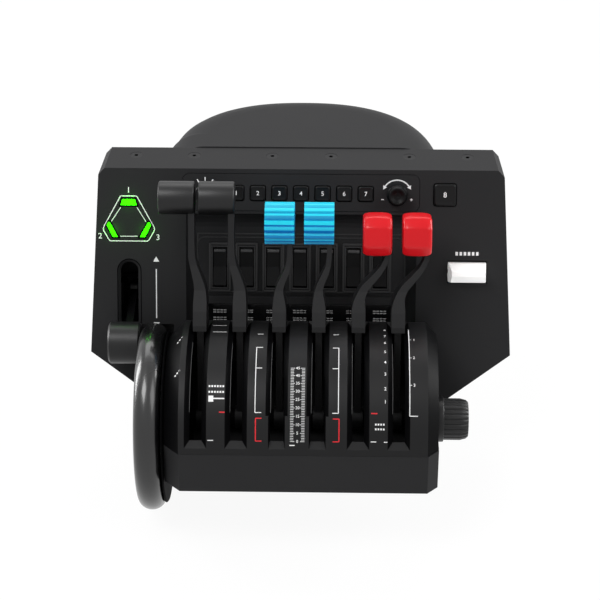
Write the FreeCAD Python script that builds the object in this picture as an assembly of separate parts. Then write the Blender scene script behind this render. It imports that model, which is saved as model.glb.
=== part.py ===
import FreeCAD, Part
import math
import os

# Throttle quadrant: six levers through a slotted drum, trim wheel, leaning instrument panel.
# Everything is modelled about the lever shaft (X right, Y away from the user, Z up) and is moved
# at export so that the origin is on the desk surface under the clamp line. Millimetres, degrees.
V = FreeCAD.Vector

RUN = 0.05                            # radial running clearance of a shaft in its hole
GAP = 0.35                            # clearance between separate mouldings
WALL = 3.0                            # general moulding wall

# ---- drum and base
DRUM_R, DRUM_WALL = 77.0, 5.0
DRUM_IN_R = DRUM_R - DRUM_WALL
DRUM_L, DRUM_RT = -103.0, 108.0       # left and right ends
CH_L, CH_R = 12.5, 8.3                # end chamfers
SEAM_Z = 17.5                         # split line between drum cover and base
BASE_BOT = -17.3
BASE_RT = 108.6                       # right side of the base's front block
PAD_T = 2.0
PANEL_Y = DRUM_R - 39.0               # panel's front plane at the height of the shaft
BACK_BOT_Y = PANEL_Y + 62.0           # foot of the housing's back plane
REAR_X, REAR_Y = 0.6, PANEL_Y + 111.2  # centre of the rear cover's rounded back in plan
REAR_A, REAR_B, REAR_N = 114.8, 101.3, 2.3   # half width, depth and exponent of that outline
REAR_STEPS = 16
FLARE_Y = PANEL_Y + 45.0              # where the base starts to widen towards the rear
CLAMP_X, CLAMP_Y = 70.0, 110.0        # threaded inserts for the desk clamps
ORIGIN = V(0, -CLAMP_Y, PAD_T - BASE_BOT)   # lever shaft to desk mount
SKIRT = 0.6                           # how far the base stands out from the cover on it
DOME_TOP, DOME_SHOULDER, DOME_WALL = 168.5, 35.0, 2.5
SLOT_X = [-77.5, -46.5, -15.5, 15.5, 46.5, 77.5]
SLOT_OUT, SLOT_IN = 17.0, 9.0         # slot width at the drum's surface and inside
SLOT_A0, SLOT_A0_IN, SLOT_A1 = 17.0, 21.0, 119.8
NARROW_W, NARROW_A = 12.8, 36.0       # the two middle slots are narrower below this angle

# ---- leaning panel (local frame: x, s up the panel, d out of it)
LEAN = 22.0
PANEL_TOP, PANEL_CH_S = 180.8, 175.3
TOP_X, CH_X, SIDE_X, SIDE_S = 157.5, 162.6, 170.1, 30.7
DRAFT = 0.00045                       # narrowing of the housing per millimetre of depth
BOT_X, BOT_S = 111.6, -12.0
TOP_DEPTH = 36.0
RECESS_L, RECESS_R, RECESS_TOP, RECESS_D = -92.4, 93.0, 144.7, 10.0
FLOOR_X, COVE_S = 85.0, 129.0

# ---- levers
REST_A = 108.5                        # rest direction from the user's horizontal
SHAFT_R, TRIM_SHAFT_R = 4.0, 5.0
HUB_R, HUB_W, STEM_W = 9.0, 8.5, 5.4

# ---- trim wheel and friction knob
WHEEL_R, WHEEL_X0, WHEEL_X1 = 74.3, -126.0, -105.5
SIDE_DISC_R = WHEEL_R - 5.8

ROCKER_PITCH, ROCKER_X0, ROCKER_S = 21.65, -65.6, 99.7
KEY_PITCH, KEY_S, KEY_W = 17.27, 161.4, 12.2
NODES = {}


def box(x0, x1, y0, y1, z0, z1):
    return Part.makeBox(x1 - x0, y1 - y0, z1 - z0, V(x0, y0, z0))


def cyl_x(r, x0, x1, y=0.0, z=0.0):
    return Part.makeCylinder(r, x1 - x0, V(x0, y, z), V(1, 0, 0))


def cyl_z(r, x, y, z0, z1):
    return Part.makeCylinder(r, z1 - z0, V(x, y, z0), V(0, 0, 1))


def poly(points):
    pts = [V(*p) for p in points]
    return Part.Face(Part.makePolygon(pts + [pts[0]]))


def prism_z(pts, z0, z1):
    return poly([(x, y, z0) for x, y in pts]).extrude(V(0, 0, z1 - z0))


def prism_x(pts, x0, x1):
    return poly([(x0, y, z) for y, z in pts]).extrude(V(x1 - x0, 0, 0))


def prism_y(pts, y0, y1):
    return poly([(x, y0, z) for x, z in pts]).extrude(V(0, y1 - y0, 0))


def revolve_x(pts):
    """Solid of revolution about the lever shaft from (x, r) points."""
    return poly([(x, 0, r) for x, r in pts]).revolve(V(0, 0, 0), V(1, 0, 0), 360)


def spin_z(pts, x, y):
    """Solid of revolution from (r, z) points about an upright axis at x, y."""
    return poly([(x + r, y, z) for r, z in pts]).revolve(V(x, y, 0), V(0, 0, 1), 360)


def rrect(cx, cy, w, h, r, z0, z1):
    """Rounded rectangular block along Z."""
    if r <= 0.01:
        return box(cx - w / 2, cx + w / 2, cy - h / 2, cy + h / 2, z0, z1)
    s = box(cx - w / 2 + r, cx + w / 2 - r, cy - h / 2, cy + h / 2, z0, z1)
    s = s.fuse(box(cx - w / 2, cx + w / 2, cy - h / 2 + r, cy + h / 2 - r, z0, z1))
    for sx in (-1, 1):
        for sy in (-1, 1):
            s = s.fuse(cyl_z(r, cx + sx * (w / 2 - r), cy + sy * (h / 2 - r), z0, z1))
    return s.removeSplitter()


def barrel(x0, x1, r, z, edge):
    """Chamfered cylinder along X at height z."""
    b = revolve_x([(x0, 0), (x1, 0), (x1, r - edge), (x1 - edge, r), (x0 + edge, r),
                   (x0, r - edge)])
    b.translate(V(0, 0, z))
    return b


def skin(rings):
    """Solid through closed rings of points, joined by flat four-sided faces."""
    faces = [Part.Face(Part.makePolygon(ring + [ring[0]])) for ring in (rings[0], rings[-1])]
    for near, far in zip(rings, rings[1:]):
        for k in range(len(near)):
            n = (k + 1) % len(near)
            faces.append(Part.Face(Part.makePolygon([near[k], near[n], far[n], far[k], near[k]])))
    return Part.makeSolid(Part.makeShell(faces))


def group(shapes):
    return Part.makeCompound(shapes)


def on_panel(shape):
    """Move a shape from the panel's own frame to the leaning panel."""
    out = shape.copy()
    out.rotate(V(0, 0, 0), V(1, 0, 0), 90.0 - LEAN)
    out.translate(V(0, PANEL_Y, 0))
    return out


def at_angle(shape, angle):
    """Turn an upright lever shape to a direction measured from the user's horizontal."""
    out = shape.copy()
    out.rotate(V(0, 0, 0), V(1, 0, 0), 90.0 - angle)
    return out


def polar(r, angle):
    a = math.radians(angle)
    return (-r * math.cos(a), r * math.sin(a))


def keep(name, shape):
    out = shape.copy()
    out.translate(ORIGIN)
    NODES[name] = out


def panel_outline(grow=0.0):
    g = grow
    return [(-BOT_X - g, BOT_S - g), (BOT_X + g, BOT_S - g), (SIDE_X + g, SIDE_S - g * 0.5),
            (CH_X + g, PANEL_CH_S + g * 0.4), (TOP_X + g * 0.4, PANEL_TOP + g),
            (-TOP_X - g * 0.4, PANEL_TOP + g), (-CH_X - g, PANEL_CH_S + g * 0.4),
            (-SIDE_X - g, SIDE_S - g * 0.5)]


def lean_prism(outline, y_front, y_top_depth, y_bot):
    """Prism of the panel outline between the leaning front plane and the steeper back plane."""
    c, t = math.cos(math.radians(LEAN)), math.tan(math.radians(LEAN))
    rings = []
    for depth in (-10, 150):
        k = 1 - DRAFT * depth
        ring = []
        for x, s in outline:
            z = (PANEL_TOP + (s - PANEL_TOP) * k) * c
            ring.append(V(x * k, PANEL_Y + z * t + depth, z))
        rings.append(ring)
    body = skin(rings)
    top_z = PANEL_TOP * c
    bot_z = BOT_S * c
    yf = lambda z: PANEL_Y + z * t + y_front
    slope = (PANEL_Y + top_z * t + y_top_depth - y_bot) / (top_z - bot_z)
    yb = lambda z: y_bot + (z - bot_z) * slope
    side = prism_x([(yf(-80), -80), (yf(260), 260), (yb(260), 260), (yb(-80), -80)], -200, 200)
    return body.common(side)


def behind_back(extra=0.0):
    """Half space behind the housing's back plane, as a large block."""
    c, t = math.cos(math.radians(LEAN)), math.tan(math.radians(LEAN))
    top_z, bot_z = PANEL_TOP * c, BOT_S * c
    slope = (PANEL_Y + top_z * t + TOP_DEPTH - BACK_BOT_Y) / (top_z - bot_z)
    yb = lambda z: BACK_BOT_Y + (z - bot_z) * slope + extra
    return prism_x([(yb(-80), -80), (yb(260), 260), (400, 260), (400, -80)], -200, 200)


def drum_profile(off):
    """(x, r) outline of the drum's end-chamfered body, moved inwards by off."""
    xl, xr, r = DRUM_L + off, DRUM_RT - off, DRUM_R - off
    k = off * 0.41
    return [(xl, 0), (xr, 0), (xr, r - CH_R + k), (xr - CH_R + k, r), (xl + CH_L - k, r),
            (xl, r - CH_L + k)]


def front_plan(off):
    """Plan outline of the base's front block."""
    xl, xr, yf = DRUM_L + off, BASE_RT - off, -math.sqrt(DRUM_R ** 2 - SEAM_Z ** 2) + off
    k = off * 0.41
    return [(xl, 90), (xl, yf + CH_L - k), (xl + CH_L - k, yf), (xr - CH_R + k, yf),
            (xr, yf + CH_R - k), (xr, 90)]


def rear_wire(off, y_from, z):
    """Plan outline of the rear, moved inwards by off: straight sides from y_from, rounded back."""
    a, b = REAR_A - off, REAR_B - off
    pts = []
    for k in range(REAR_STEPS + 1):
        turn = math.pi * k / REAR_STEPS
        c, s = math.cos(turn), abs(math.sin(turn))
        x = math.copysign(abs(c) ** (2 / REAR_N), c) * a
        pts.append(V(REAR_X + x, REAR_Y + b * s ** (2 / REAR_N), z))
    back = Part.BSplineCurve()
    back.interpolate(Points=pts, InitialTangent=V(0, 1, 0), FinalTangent=V(0, -1, 0))
    left, right = V(REAR_X - a, y_from, z), V(REAR_X + a, y_from, z)
    return Part.Wire([back.toShape(), Part.makeLine(pts[-1], left),
                      Part.makeLine(left, right), Part.makeLine(right, pts[0])])


def base_plan(off, z0, z1):
    a = REAR_A + SKIRT - off
    xl, xr = DRUM_L + off, BASE_RT - off
    yl, yr = FLARE_Y + off + xl - (REAR_X - a), FLARE_Y + off + (REAR_X + a) - xr
    y1 = REAR_Y - 20
    flare = prism_z([(xl, FLARE_Y + off), (xr, FLARE_Y + off), (REAR_X + a, yr), (REAR_X + a, y1),
                     (REAR_X - a, y1), (REAR_X - a, yl)], z0, z1)
    rear = Part.Face(rear_wire(off - SKIRT, y1, z0)).extrude(V(0, 0, z1 - z0))
    return prism_z(front_plan(off), z0, z1).fuse([flare, rear]).removeSplitter()


# =============================================================== base
outer = base_plan(0, BASE_BOT, SEAM_Z)
inner = base_plan(WALL, BASE_BOT - 1, SEAM_Z - WALL)
front_open = prism_z([(DRUM_L + 5, 11 - DRUM_R), (DRUM_RT - 5, 11 - DRUM_R),
                      (DRUM_RT - 5, PANEL_Y + 20), (DRUM_L + 5, PANEL_Y + 20)], 0, SEAM_Z + 1)
shell = outer.cut(inner).cut(front_open)
SCREW_XY = [(-84, 8.5 - DRUM_R), (92, 8.5 - DRUM_R), (-80, REAR_Y + 46.8), (83, REAR_Y + 46.8)]
for x, y in SCREW_XY:
    shell = shell.fuse(cyl_z(5, x, y, BASE_BOT + 2.9, SEAM_Z - 2))
for sx in (-1, 1):
    shell = shell.fuse(cyl_z(8, sx * CLAMP_X, CLAMP_Y, BASE_BOT, SEAM_Z - 2))
shell = shell.fuse(cyl_x(13, DRUM_L + 0.5, DRUM_L + 9)).common(outer)
shell = shell.fuse(cyl_x(13, DRUM_RT - 9, DRUM_RT - 0.5)).common(outer)
for sx in (-1, 1):
    shell = shell.cut(cyl_z(4.5, sx * CLAMP_X, CLAMP_Y, BASE_BOT - 1, BASE_BOT + 12))
for x, y in SCREW_XY:
    shell = shell.cut(cyl_z(1.5, x, y, BASE_BOT, BASE_BOT + 14))
shell = shell.cut(cyl_x(TRIM_SHAFT_R + RUN, DRUM_L - 1, -93.5))
shell = shell.cut(cyl_x(SHAFT_R + RUN, 90, BASE_RT + 1))
USB_Y = REAR_Y + REAR_B + SKIRT
shell = shell.cut(box(-6.6, 6.6, USB_Y - 8, USB_Y + 4, -7.0, 5.0))
keep("base_shell", shell.removeSplitter())

plate = base_plan(WALL + GAP, BASE_BOT + 0.3, BASE_BOT + 2.8)
for sx in (-1, 1):
    plate = plate.cut(cyl_z(8 + GAP, sx * CLAMP_X, CLAMP_Y, BASE_BOT - 1, 0))
for x, y in SCREW_XY:
    plate = plate.cut(cyl_z(1.6, x, y, BASE_BOT - 1, 0)).cut(
        Part.makeCone(3.3, 1.6, 1.7, V(x, y, BASE_BOT + 0.29), V(0, 0, 1)))
keep("base_plate", plate)

keep("base_screws", group([
    Part.makeCone(3.0, 1.35, 1.65, V(x, y, BASE_BOT + 0.32), V(0, 0, 1)).fuse(
        cyl_z(1.35, x, y, BASE_BOT + 1.9, BASE_BOT + 12)) for x, y in SCREW_XY]))

PAD_Z0, PAD_Z1 = BASE_BOT - PAD_T, BASE_BOT + 0.28
pads = [rrect(0, CLAMP_Y, 96, 26, 6, PAD_Z0, PAD_Z1),
        rrect(0, REAR_Y + 76.8, 90, 16, 6, PAD_Z0, PAD_Z1)]
for sx in (-1, 1):
    pads.append(rrect(sx * 94 + REAR_X, REAR_Y - 4.2, 16, 44, 6, PAD_Z0, PAD_Z1))
keep("rubber_pads", group(pads))

keep("clamp_inserts", group([
    cyl_z(4.45, sx * CLAMP_X, CLAMP_Y, BASE_BOT, BASE_BOT + 11.9).cut(
        cyl_z(2.5, sx * CLAMP_X, CLAMP_Y, BASE_BOT - 1, BASE_BOT + 13)) for sx in (-1, 1)]))

# =============================================================== drum cover
cover = revolve_x(drum_profile(0)).cut(revolve_x(drum_profile(DRUM_R - DRUM_IN_R)))
cover = cover.cut(box(-200, 200, -200, 200, -200, SEAM_Z + 0.15))
cover = cover.common(on_panel(box(-200, 200, -200, 400, -14, 400)))


def slot_cutter(xc, w_out, w_in, a0, a0_in, a1, a1_in):
    k = (w_out - w_in) / 2 / (DRUM_R - DRUM_IN_R)
    r0, r1 = DRUM_IN_R - 3, DRUM_R + 3
    h0, h1 = w_in / 2, w_out / 2 + 3 * k
    body = poly([(xc - h0, 0, r0), (xc + h0, 0, r0), (xc + h0, 0, DRUM_IN_R),
                 (xc + h1, 0, r1), (xc - h1, 0, r1), (xc - h0, 0, DRUM_IN_R)])
    body = body.revolve(V(0, 0, 0), V(1, 0, 0), 360)
    a, b = polar(DRUM_IN_R, a0_in), polar(DRUM_R, a0)
    c, d = polar(DRUM_IN_R, a1_in), polar(DRUM_R, a1)
    lo = (a[0] - 2 * (b[0] - a[0]), a[1] - 2 * (b[1] - a[1]))
    lo2 = (b[0] + 2 * (b[0] - a[0]), b[1] + 2 * (b[1] - a[1]))
    hi = (c[0] - 2 * (d[0] - c[0]), c[1] - 2 * (d[1] - c[1]))
    hi2 = (d[0] + 2 * (d[0] - c[0]), d[1] + 2 * (d[1] - c[1]))
    far = [polar(150, a) for a in (a0 + 12, (a0 + a1) / 2, a1 - 12)]
    return body.common(prism_x([lo, lo2] + far + [hi2, hi], xc - 20, xc + 20))


for i, x in enumerate(SLOT_X):
    if i in (2, 3):
        cover = cover.cut(slot_cutter(x, SLOT_OUT, SLOT_IN, NARROW_A, NARROW_A + 0.5,
                                      SLOT_A1 + 1, SLOT_A1))
        cover = cover.cut(slot_cutter(x, NARROW_W, SLOT_IN + 1.4, SLOT_A0, SLOT_A0_IN,
                                      NARROW_A + 24, NARROW_A + 24))
    else:
        cover = cover.cut(slot_cutter(x, SLOT_OUT, SLOT_IN, SLOT_A0, SLOT_A0_IN,
                                      SLOT_A1 + 1, SLOT_A1))
keep("drum_cover", cover)

# =============================================================== panel housing
c22 = math.cos(math.radians(LEAN))
body = lean_prism(panel_outline(), 0, TOP_DEPTH, BACK_BOT_Y)
hollow = lean_prism(panel_outline(-WALL), WALL / c22, TOP_DEPTH + 30, BACK_BOT_Y + 30)
housing = body.cut(hollow)
# recess block and the wall that carries the gear and flap bearings
rec_block = on_panel(box(RECESS_L - 5, RECESS_R + 5, 20, RECESS_TOP + 5, -RECESS_D - WALL, -0.5))
well_wall = box(-132, -99.5, PANEL_Y - 8, PANEL_Y + 48, -14, 53.5).common(body)
housing = housing.fuse(rec_block.common(body)).fuse(well_wall)
arc_r = 17.3
cove = [V(0, COVE_S + arc_r * math.sin(a), -RECESS_D + arc_r * (1 - math.cos(a)))
        for a in [math.radians(v) for v in (0, 13, 26, 39, 52, 65)]]
prof = [(COVE_S, -RECESS_D)] + [(p.y, p.z) for p in cove[1:]] + [(RECESS_TOP + 0.2, 6), (20, 6),
                                                                (20, -RECESS_D)]
slantL = (FLOOR_X + RECESS_L) / RECESS_D
slantR = (RECESS_R - FLOOR_X) / RECESS_D
trap = [(-FLOOR_X, -RECESS_D), (FLOOR_X, -RECESS_D), (RECESS_R + 6 * slantR, 6),
        (RECESS_L + 6 * slantL, 6)]
rec_a = prism_x(prof, -120, 120)
rec_b = prism_y(trap, 10, 160)
recess = on_panel(rec_a.common(rec_b))
housing = housing.cut(recess)
housing = housing.cut(revolve_x([(x + (0.4 if x > 0 else -0.4), r + (0.4 if r > 1 else 0))
                                 for x, r in drum_profile(0)]))
housing = housing.cut(box(DRUM_L - 0.4, BASE_RT + 0.4, 0, BACK_BOT_Y + 40, -30, SEAM_Z + 0.4))
housing = housing.cut(base_plan(-0.4, -30, SEAM_Z + 0.4))
housing = housing.cut(cyl_x(WHEEL_R + 2.5, -129.3, -102.6))

holes = []
# groove under the rockers, rocker windows, annunciator seat
holes.append(box(-FLOOR_X + 0.4, FLOOR_X - 0.4, 75.0, 77.2, -RECESS_D - 1.2, 0))
for i in range(7):
    x = ROCKER_X0 + i * ROCKER_PITCH
    holes.append(box(x - 7.3, x + 7.3, ROCKER_S - 18.5, ROCKER_S + 18.5,
                     -RECESS_D - 9, -RECESS_D + 1))
holes.append(box(-FLOOR_X + 1, FLOOR_X - 1, 51.5, 69.5, -RECESS_D - 1.5, -RECESS_D + 1))
# autopilot strip seat with openings behind it for the keys and the two knobs
AP_X, AP_S0, AP_S1 = 95.0, 147.0, 177.1
holes.append(rrect(0, (AP_S0 + AP_S1) / 2, 2 * AP_X, AP_S1 - AP_S0, 6, -1.6, 2))
holes.append(box(-90, 90, 151.5, 172.5, -9, 2))
BIG_X, BIG_S, BIG_W = 115.2, 161.1, 17.8
holes.append(rrect(BIG_X, BIG_S, BIG_W + 1.0, BIG_W + 1.0, 2.3, -9, 2))
# gear slot with round ends and a bevelled mouth
GEAR_X, SLOT_S0, SLOT_S1, SLOT_R, MOUTH_R = -138.3, 57.8, 97.6, 7.0, 9.1
slot = box(GEAR_X - SLOT_R, GEAR_X + SLOT_R, SLOT_S0, SLOT_S1, -9, 2)
mouth = prism_y([(GEAR_X - SLOT_R, -2.1), (GEAR_X + SLOT_R, -2.1), (GEAR_X + MOUTH_R, 0),
                 (GEAR_X + MOUTH_R, 1), (GEAR_X - MOUTH_R, 1), (GEAR_X - MOUTH_R, 0)],
                SLOT_S0, SLOT_S1)
for s in (SLOT_S0, SLOT_S1):
    slot = slot.fuse(cyl_z(SLOT_R, GEAR_X, s, -9, 2))
    mouth = mouth.fuse(spin_z([(0, -2.1), (SLOT_R, -2.1), (MOUTH_R, 0), (MOUTH_R, 1), (0, 1)],
                              GEAR_X, s))
holes.append(slot.fuse(mouth).removeSplitter())
# gear indicator seat
TRI = [(-6.2, 20.0), (6.2, 20.0), (20.5, -5.3), (14.5, -16.5), (-14.5, -16.5), (-20.5, -5.3)]
TRI_X, TRI_S = -138.3, 138.3


def tri_shape(scale, z0, z1):
    pts = [(TRI_X + x * scale, TRI_S + y * scale) for x, y in TRI]
    return prism_z(pts, z0, z1)


holes.append(tri_shape(1.0, -1.4, 2))
for a in (90, 210, 330):
    holes.append(cyl_z(3.0, TRI_X + 10 * math.cos(math.radians(a)),
                       TRI_S - 3 + 10 * math.sin(math.radians(a)), -9, 2))
# flap opening
FLAP_X, FLAP_S, FLAP_W, FLAP_H = 134.0, 98.6, 30.4, 16.2
holes.append(rrect(FLAP_X, FLAP_S, FLAP_W + 1.6, FLAP_H + 2.6, 0, -9, 2))
for h in holes:
    housing = housing.cut(on_panel(h))
SCREW_X = [-134.0, -87.0, -23.7, 23.7, 87.0, 134.0]
TOP_Z = PANEL_TOP * c22
SCREW_Y = PANEL_Y + TOP_Z * math.tan(math.radians(LEAN)) + TOP_DEPTH - 13.1
for x in SCREW_X:
    housing = housing.cut(cyl_z(2.1, x, SCREW_Y, TOP_Z - 8, TOP_Z + 1))
    housing = housing.cut(Part.makeCone(2.1, 5.2, 2.6, V(x, SCREW_Y, TOP_Z - 2.59), V(0, 0, 1)))
keep("panel_housing", housing.removeSplitter())

keep("top_screws", group([
    cyl_z(1.9, x, SCREW_Y, TOP_Z - 8, TOP_Z - 2.2).fuse(
        Part.makeCone(1.9, 4.85, 2.5, V(x, SCREW_Y, TOP_Z - 2.75), V(0, 0, 1))).cut(
        prism_z([(x + 1.7 * math.cos(math.radians(a)), SCREW_Y + 1.7 * math.sin(math.radians(a)))
                 for a in range(0, 360, 60)], TOP_Z - 1.9, TOP_Z + 1)) for x in SCREW_X]))

# back plate closing the housing, with an opening into the rear cover
back = lean_prism(panel_outline(-WALL - GAP), WALL + 8, TOP_DEPTH, BACK_BOT_Y)
back = back.cut(lean_prism(panel_outline(5), -20, TOP_DEPTH - 2.5, BACK_BOT_Y - 2.5))
back = back.cut(box(-80, 82, 60, 200, 30, 150))
back = back.cut(base_plan(-0.8, -30, SEAM_Z + 0.8))
keep("housing_back", back)

# =============================================================== rear cover
def dome(off, z0):
    """Rear cover moved inwards by off: upright wall with a round shoulder and a flat roof."""
    spring, rs = DOME_TOP - DOME_SHOULDER, DOME_SHOULDER - off
    wall = Part.Face(rear_wire(off, 60, z0)).extrude(V(0, 0, spring - z0))
    rings = []
    for deg in (0, 18, 36, 54, 72, 90):
        a = math.radians(deg)
        rings.append(rear_wire(off + rs * (1 - math.cos(a)), 60, spring + rs * math.sin(a)))
    return wall.fuse(Part.makeLoft(rings, True))


rear = dome(0, SEAM_Z + 0.3).cut(dome(DOME_WALL, SEAM_Z)).common(behind_back(GAP))
keep("rear_dome", rear)

# =============================================================== panel fittings
ap = rrect(0, (AP_S0 + AP_S1) / 2, 2 * AP_X - 0.6, AP_S1 - AP_S0 - 0.6, 5.7, -1.5, 0.5)
KEYS_X = [(-3 + i) * KEY_PITCH for i in range(7)]
for x in KEYS_X:
    ap = ap.cut(rrect(x, KEY_S, KEY_W + 1.0, KEY_W + 1.0, 2.3, -9, 2))
KNOB_X, KNOB_S = 76.8, 161.2
for sx in (-1, 1):
    ap = ap.cut(cyl_z(4.55, sx * KNOB_X, KNOB_S, -9, 2))
keep("autopilot_plate", on_panel(ap))

for i, x in enumerate(KEYS_X):
    key = rrect(x, KEY_S, KEY_W, KEY_W, 2.0, -3.2, 2.0).fuse(rrect(x, KEY_S, 8, 8, 1, -7.5, -3.0))
    keep("key_%d" % (i + 1), on_panel(key.removeSplitter()))
key = rrect(BIG_X, BIG_S, BIG_W, BIG_W, 2.0, -2.6, 2.0).fuse(rrect(BIG_X, BIG_S, 10, 10, 1, -7.5, -2.5))
keep("key_master", on_panel(key.removeSplitter()))

keep("knob_bushes", group([on_panel(
    cyl_z(4.5, sx * KNOB_X, KNOB_S, -12, 0.4).fuse(cyl_z(6.5, sx * KNOB_X, KNOB_S, 0.55, 1.6)).fuse(
        cyl_z(4.5, sx * KNOB_X, KNOB_S, 0.3, 0.6)).cut(
        cyl_z(3.0 + RUN, sx * KNOB_X, KNOB_S, -13, 3))) for sx in (-1, 1)]))

keep("selector_knob", on_panel(spin_z(
    [(0, -12), (3.0, -12), (3.0, 2.0), (8.0, 2.0), (8.0, 14.4), (7.4, 15.0), (0, 15.0)],
    -KNOB_X, KNOB_S)))
keep("encoder_knob", on_panel(spin_z(
    [(0, -12), (3.0, -12), (3.0, 2.0), (8.4, 2.0), (8.4, 4.2), (8.0, 4.6), (8.0, 12.0),
     (6.6, 15.0), (5.6, 15.0), (3.0, 14.0), (0, 13.6)], KNOB_X, KNOB_S)))

keep("annunciator_lens", on_panel(
    box(-FLOOR_X + 1.2, FLOOR_X - 1.2, 51.8, 69.2, -RECESS_D - 1.4, -RECESS_D + 0.4)))

# rocker switches: bezel and body fixed, rocker turning on its own pivot
ROCK_D, ROCK_TILT = -13.5, 7.0        # pivot depth, and the tilt of each half of the rocker
bezels = []
for i in range(7):
    x = ROCKER_X0 + i * ROCKER_PITCH
    b = rrect(x, ROCKER_S, 16.3, 39.0, 1.2, -RECESS_D + 0.02, -RECESS_D + 0.9).fuse(
        rrect(x, ROCKER_S, 13.8, 36.2, 0, -RECESS_D - 13.5, -RECESS_D + 0.5))
    b = b.cut(box(x - 5.7, x + 5.7, ROCKER_S - 16.4, ROCKER_S + 16.4, -RECESS_D - 12, 0))
    b = b.cut(Part.makeCylinder(1.0 + RUN, 13, V(x - 6.5, ROCKER_S, ROCK_D), V(1, 0, 0)))
    bezels.append(on_panel(b.removeSplitter()))
    t = math.tan(math.radians(ROCK_TILT))
    r = prism_x([(-15.4, -4.2), (15.4, -4.2), (15.4, 3.2 + 15.4 * t), (0, 3.2),
                 (-15.4, 3.2 + 15.4 * t)], x - 5.3, x + 5.3)
    r = r.fuse(Part.makeCylinder(1.0, 12.6, V(x - 6.3, 0, 0), V(1, 0, 0)))
    r.rotate(V(x, 0, 0), V(1, 0, 0), -ROCK_TILT)
    r.translate(V(0, ROCKER_S, ROCK_D))
    keep("rocker_%d" % (i + 1), on_panel(r.removeSplitter()))
keep("rocker_bezels", group(bezels))

# gear indicator and lenses
LENS_TOP = [(-5.5, 18.1), (5.5, 18.1), (7.3, 12.1), (-7.3, 12.1)]
LENS_SIDE = [(18.5, -3.5), (16.9, -0.5), (15.2, -0.5), (7.9, -13.7), (13.2, -13.7)]
ind = tri_shape(0.99, -1.3, 0.3)
lenses = []
for outline in (LENS_TOP, LENS_SIDE, [(-x, y) for x, y in LENS_SIDE]):
    pts = [(TRI_X + x, TRI_S + y) for x, y in outline]
    lenses.append(prism_z(pts, -1.0, 0.7))
    ind = ind.cut(prism_z(pts, -1.05, 1))
keep("gear_indicator", on_panel(ind))
keep("gear_lenses", group([on_panel(lens) for lens in lenses]))

# gear lever
GEAR_PS, GEAR_PD, GEAR_HALF, GEAR_RK = 77.5, -40.0, 30.0, 70.0
KNOB_GX, KNOB_GR, KNOB_GW = -139.8, 16.8, 25.7


def gear_place(shape):
    """Upright gear lever (pivot at origin, arm along Z) to its stored DOWN position."""
    out = shape.copy()
    out.rotate(V(0, 0, 0), V(1, 0, 0), GEAR_HALF)
    out.translate(V(0, GEAR_PS, GEAR_PD))
    return on_panel(out)


arm = box(GEAR_X - 3, GEAR_X + 3, -2.4, 2.4, 0, GEAR_RK - 6).fuse(cyl_x(6.0, GEAR_X - 3, GEAR_X + 3))
arm = arm.cut(cyl_x(2.5 + RUN, GEAR_X - 5, GEAR_X + 5))
keep("gear_arm", gear_place(arm.removeSplitter()))
gk = barrel(KNOB_GX - KNOB_GW / 2, KNOB_GX + KNOB_GW / 2, KNOB_GR, GEAR_RK, 1.6)
gk = gk.cut(box(GEAR_X - 3.0, GEAR_X + 3.0, -2.4, 2.4, GEAR_RK - 30, GEAR_RK - 6))
keep("gear_knob", gear_place(gk))
pin = cyl_x(2.5, GEAR_X - 9, GEAR_X + 9)
pin.translate(V(0, GEAR_PS, GEAR_PD))
brk = box(GEAR_X - 9, GEAR_X - 6, GEAR_PS - 9, GEAR_PS + 9, GEAR_PD - 6, -WALL - 0.2).fuse(
    box(GEAR_X + 6, GEAR_X + 9, GEAR_PS - 9, GEAR_PS + 9, GEAR_PD - 6, -WALL - 0.2))
brk = brk.cut(box(GEAR_X - 7.3, GEAR_X + 7.3, GEAR_PS - 10, GEAR_PS + 10, -9.3, 0))
for s0 in (GEAR_PS - 11.5, GEAR_PS + 8.9):
    brk = brk.fuse(box(GEAR_X - 9, GEAR_X + 9, s0, s0 + 2.6, GEAR_PD - 6, GEAR_PD + 4))
keep("gear_bracket", on_panel(brk.fuse(pin).removeSplitter()))

# flap paddle: white wedge on its own pin, sprung to the middle
FLAP_D = -6.0
fp = prism_x([(-7.6, 6.5), (-7.0, 14.5), (-1.5, 19.0), (2.0, 18.6), (7.6, 7.5), (7.6, 1.0),
              (4.0, -4.0), (-4.0, -4.0), (-7.6, 1.0)], -FLAP_W / 2, FLAP_W / 2)
fp = fp.common(prism_y([(-FLAP_W / 2, -5), (FLAP_W / 2, -5), (FLAP_W / 2, 6),
                        (FLAP_W / 2 - 1.6, 20), (2.6 - FLAP_W / 2, 20), (-FLAP_W / 2, 6)], -20, 20))
fp = fp.cut(cyl_x(1.5 + RUN, -30, 30))
fp.translate(V(FLAP_X, FLAP_S, FLAP_D))
keep("flap_paddle", on_panel(fp.removeSplitter()))
fb = cyl_x(1.5, -18.4, 18.4)
for x0 in (-18.4, 15.9):
    fb = fb.fuse(box(x0, x0 + 2.5, -5, 5, -9, 2.7))
fb = fb.fuse(box(-18.4, 18.4, -5, 5, -9, -6.7))
fb.translate(V(FLAP_X, FLAP_S, FLAP_D))
keep("flap_bracket", on_panel(fb.removeSplitter()))

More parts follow.
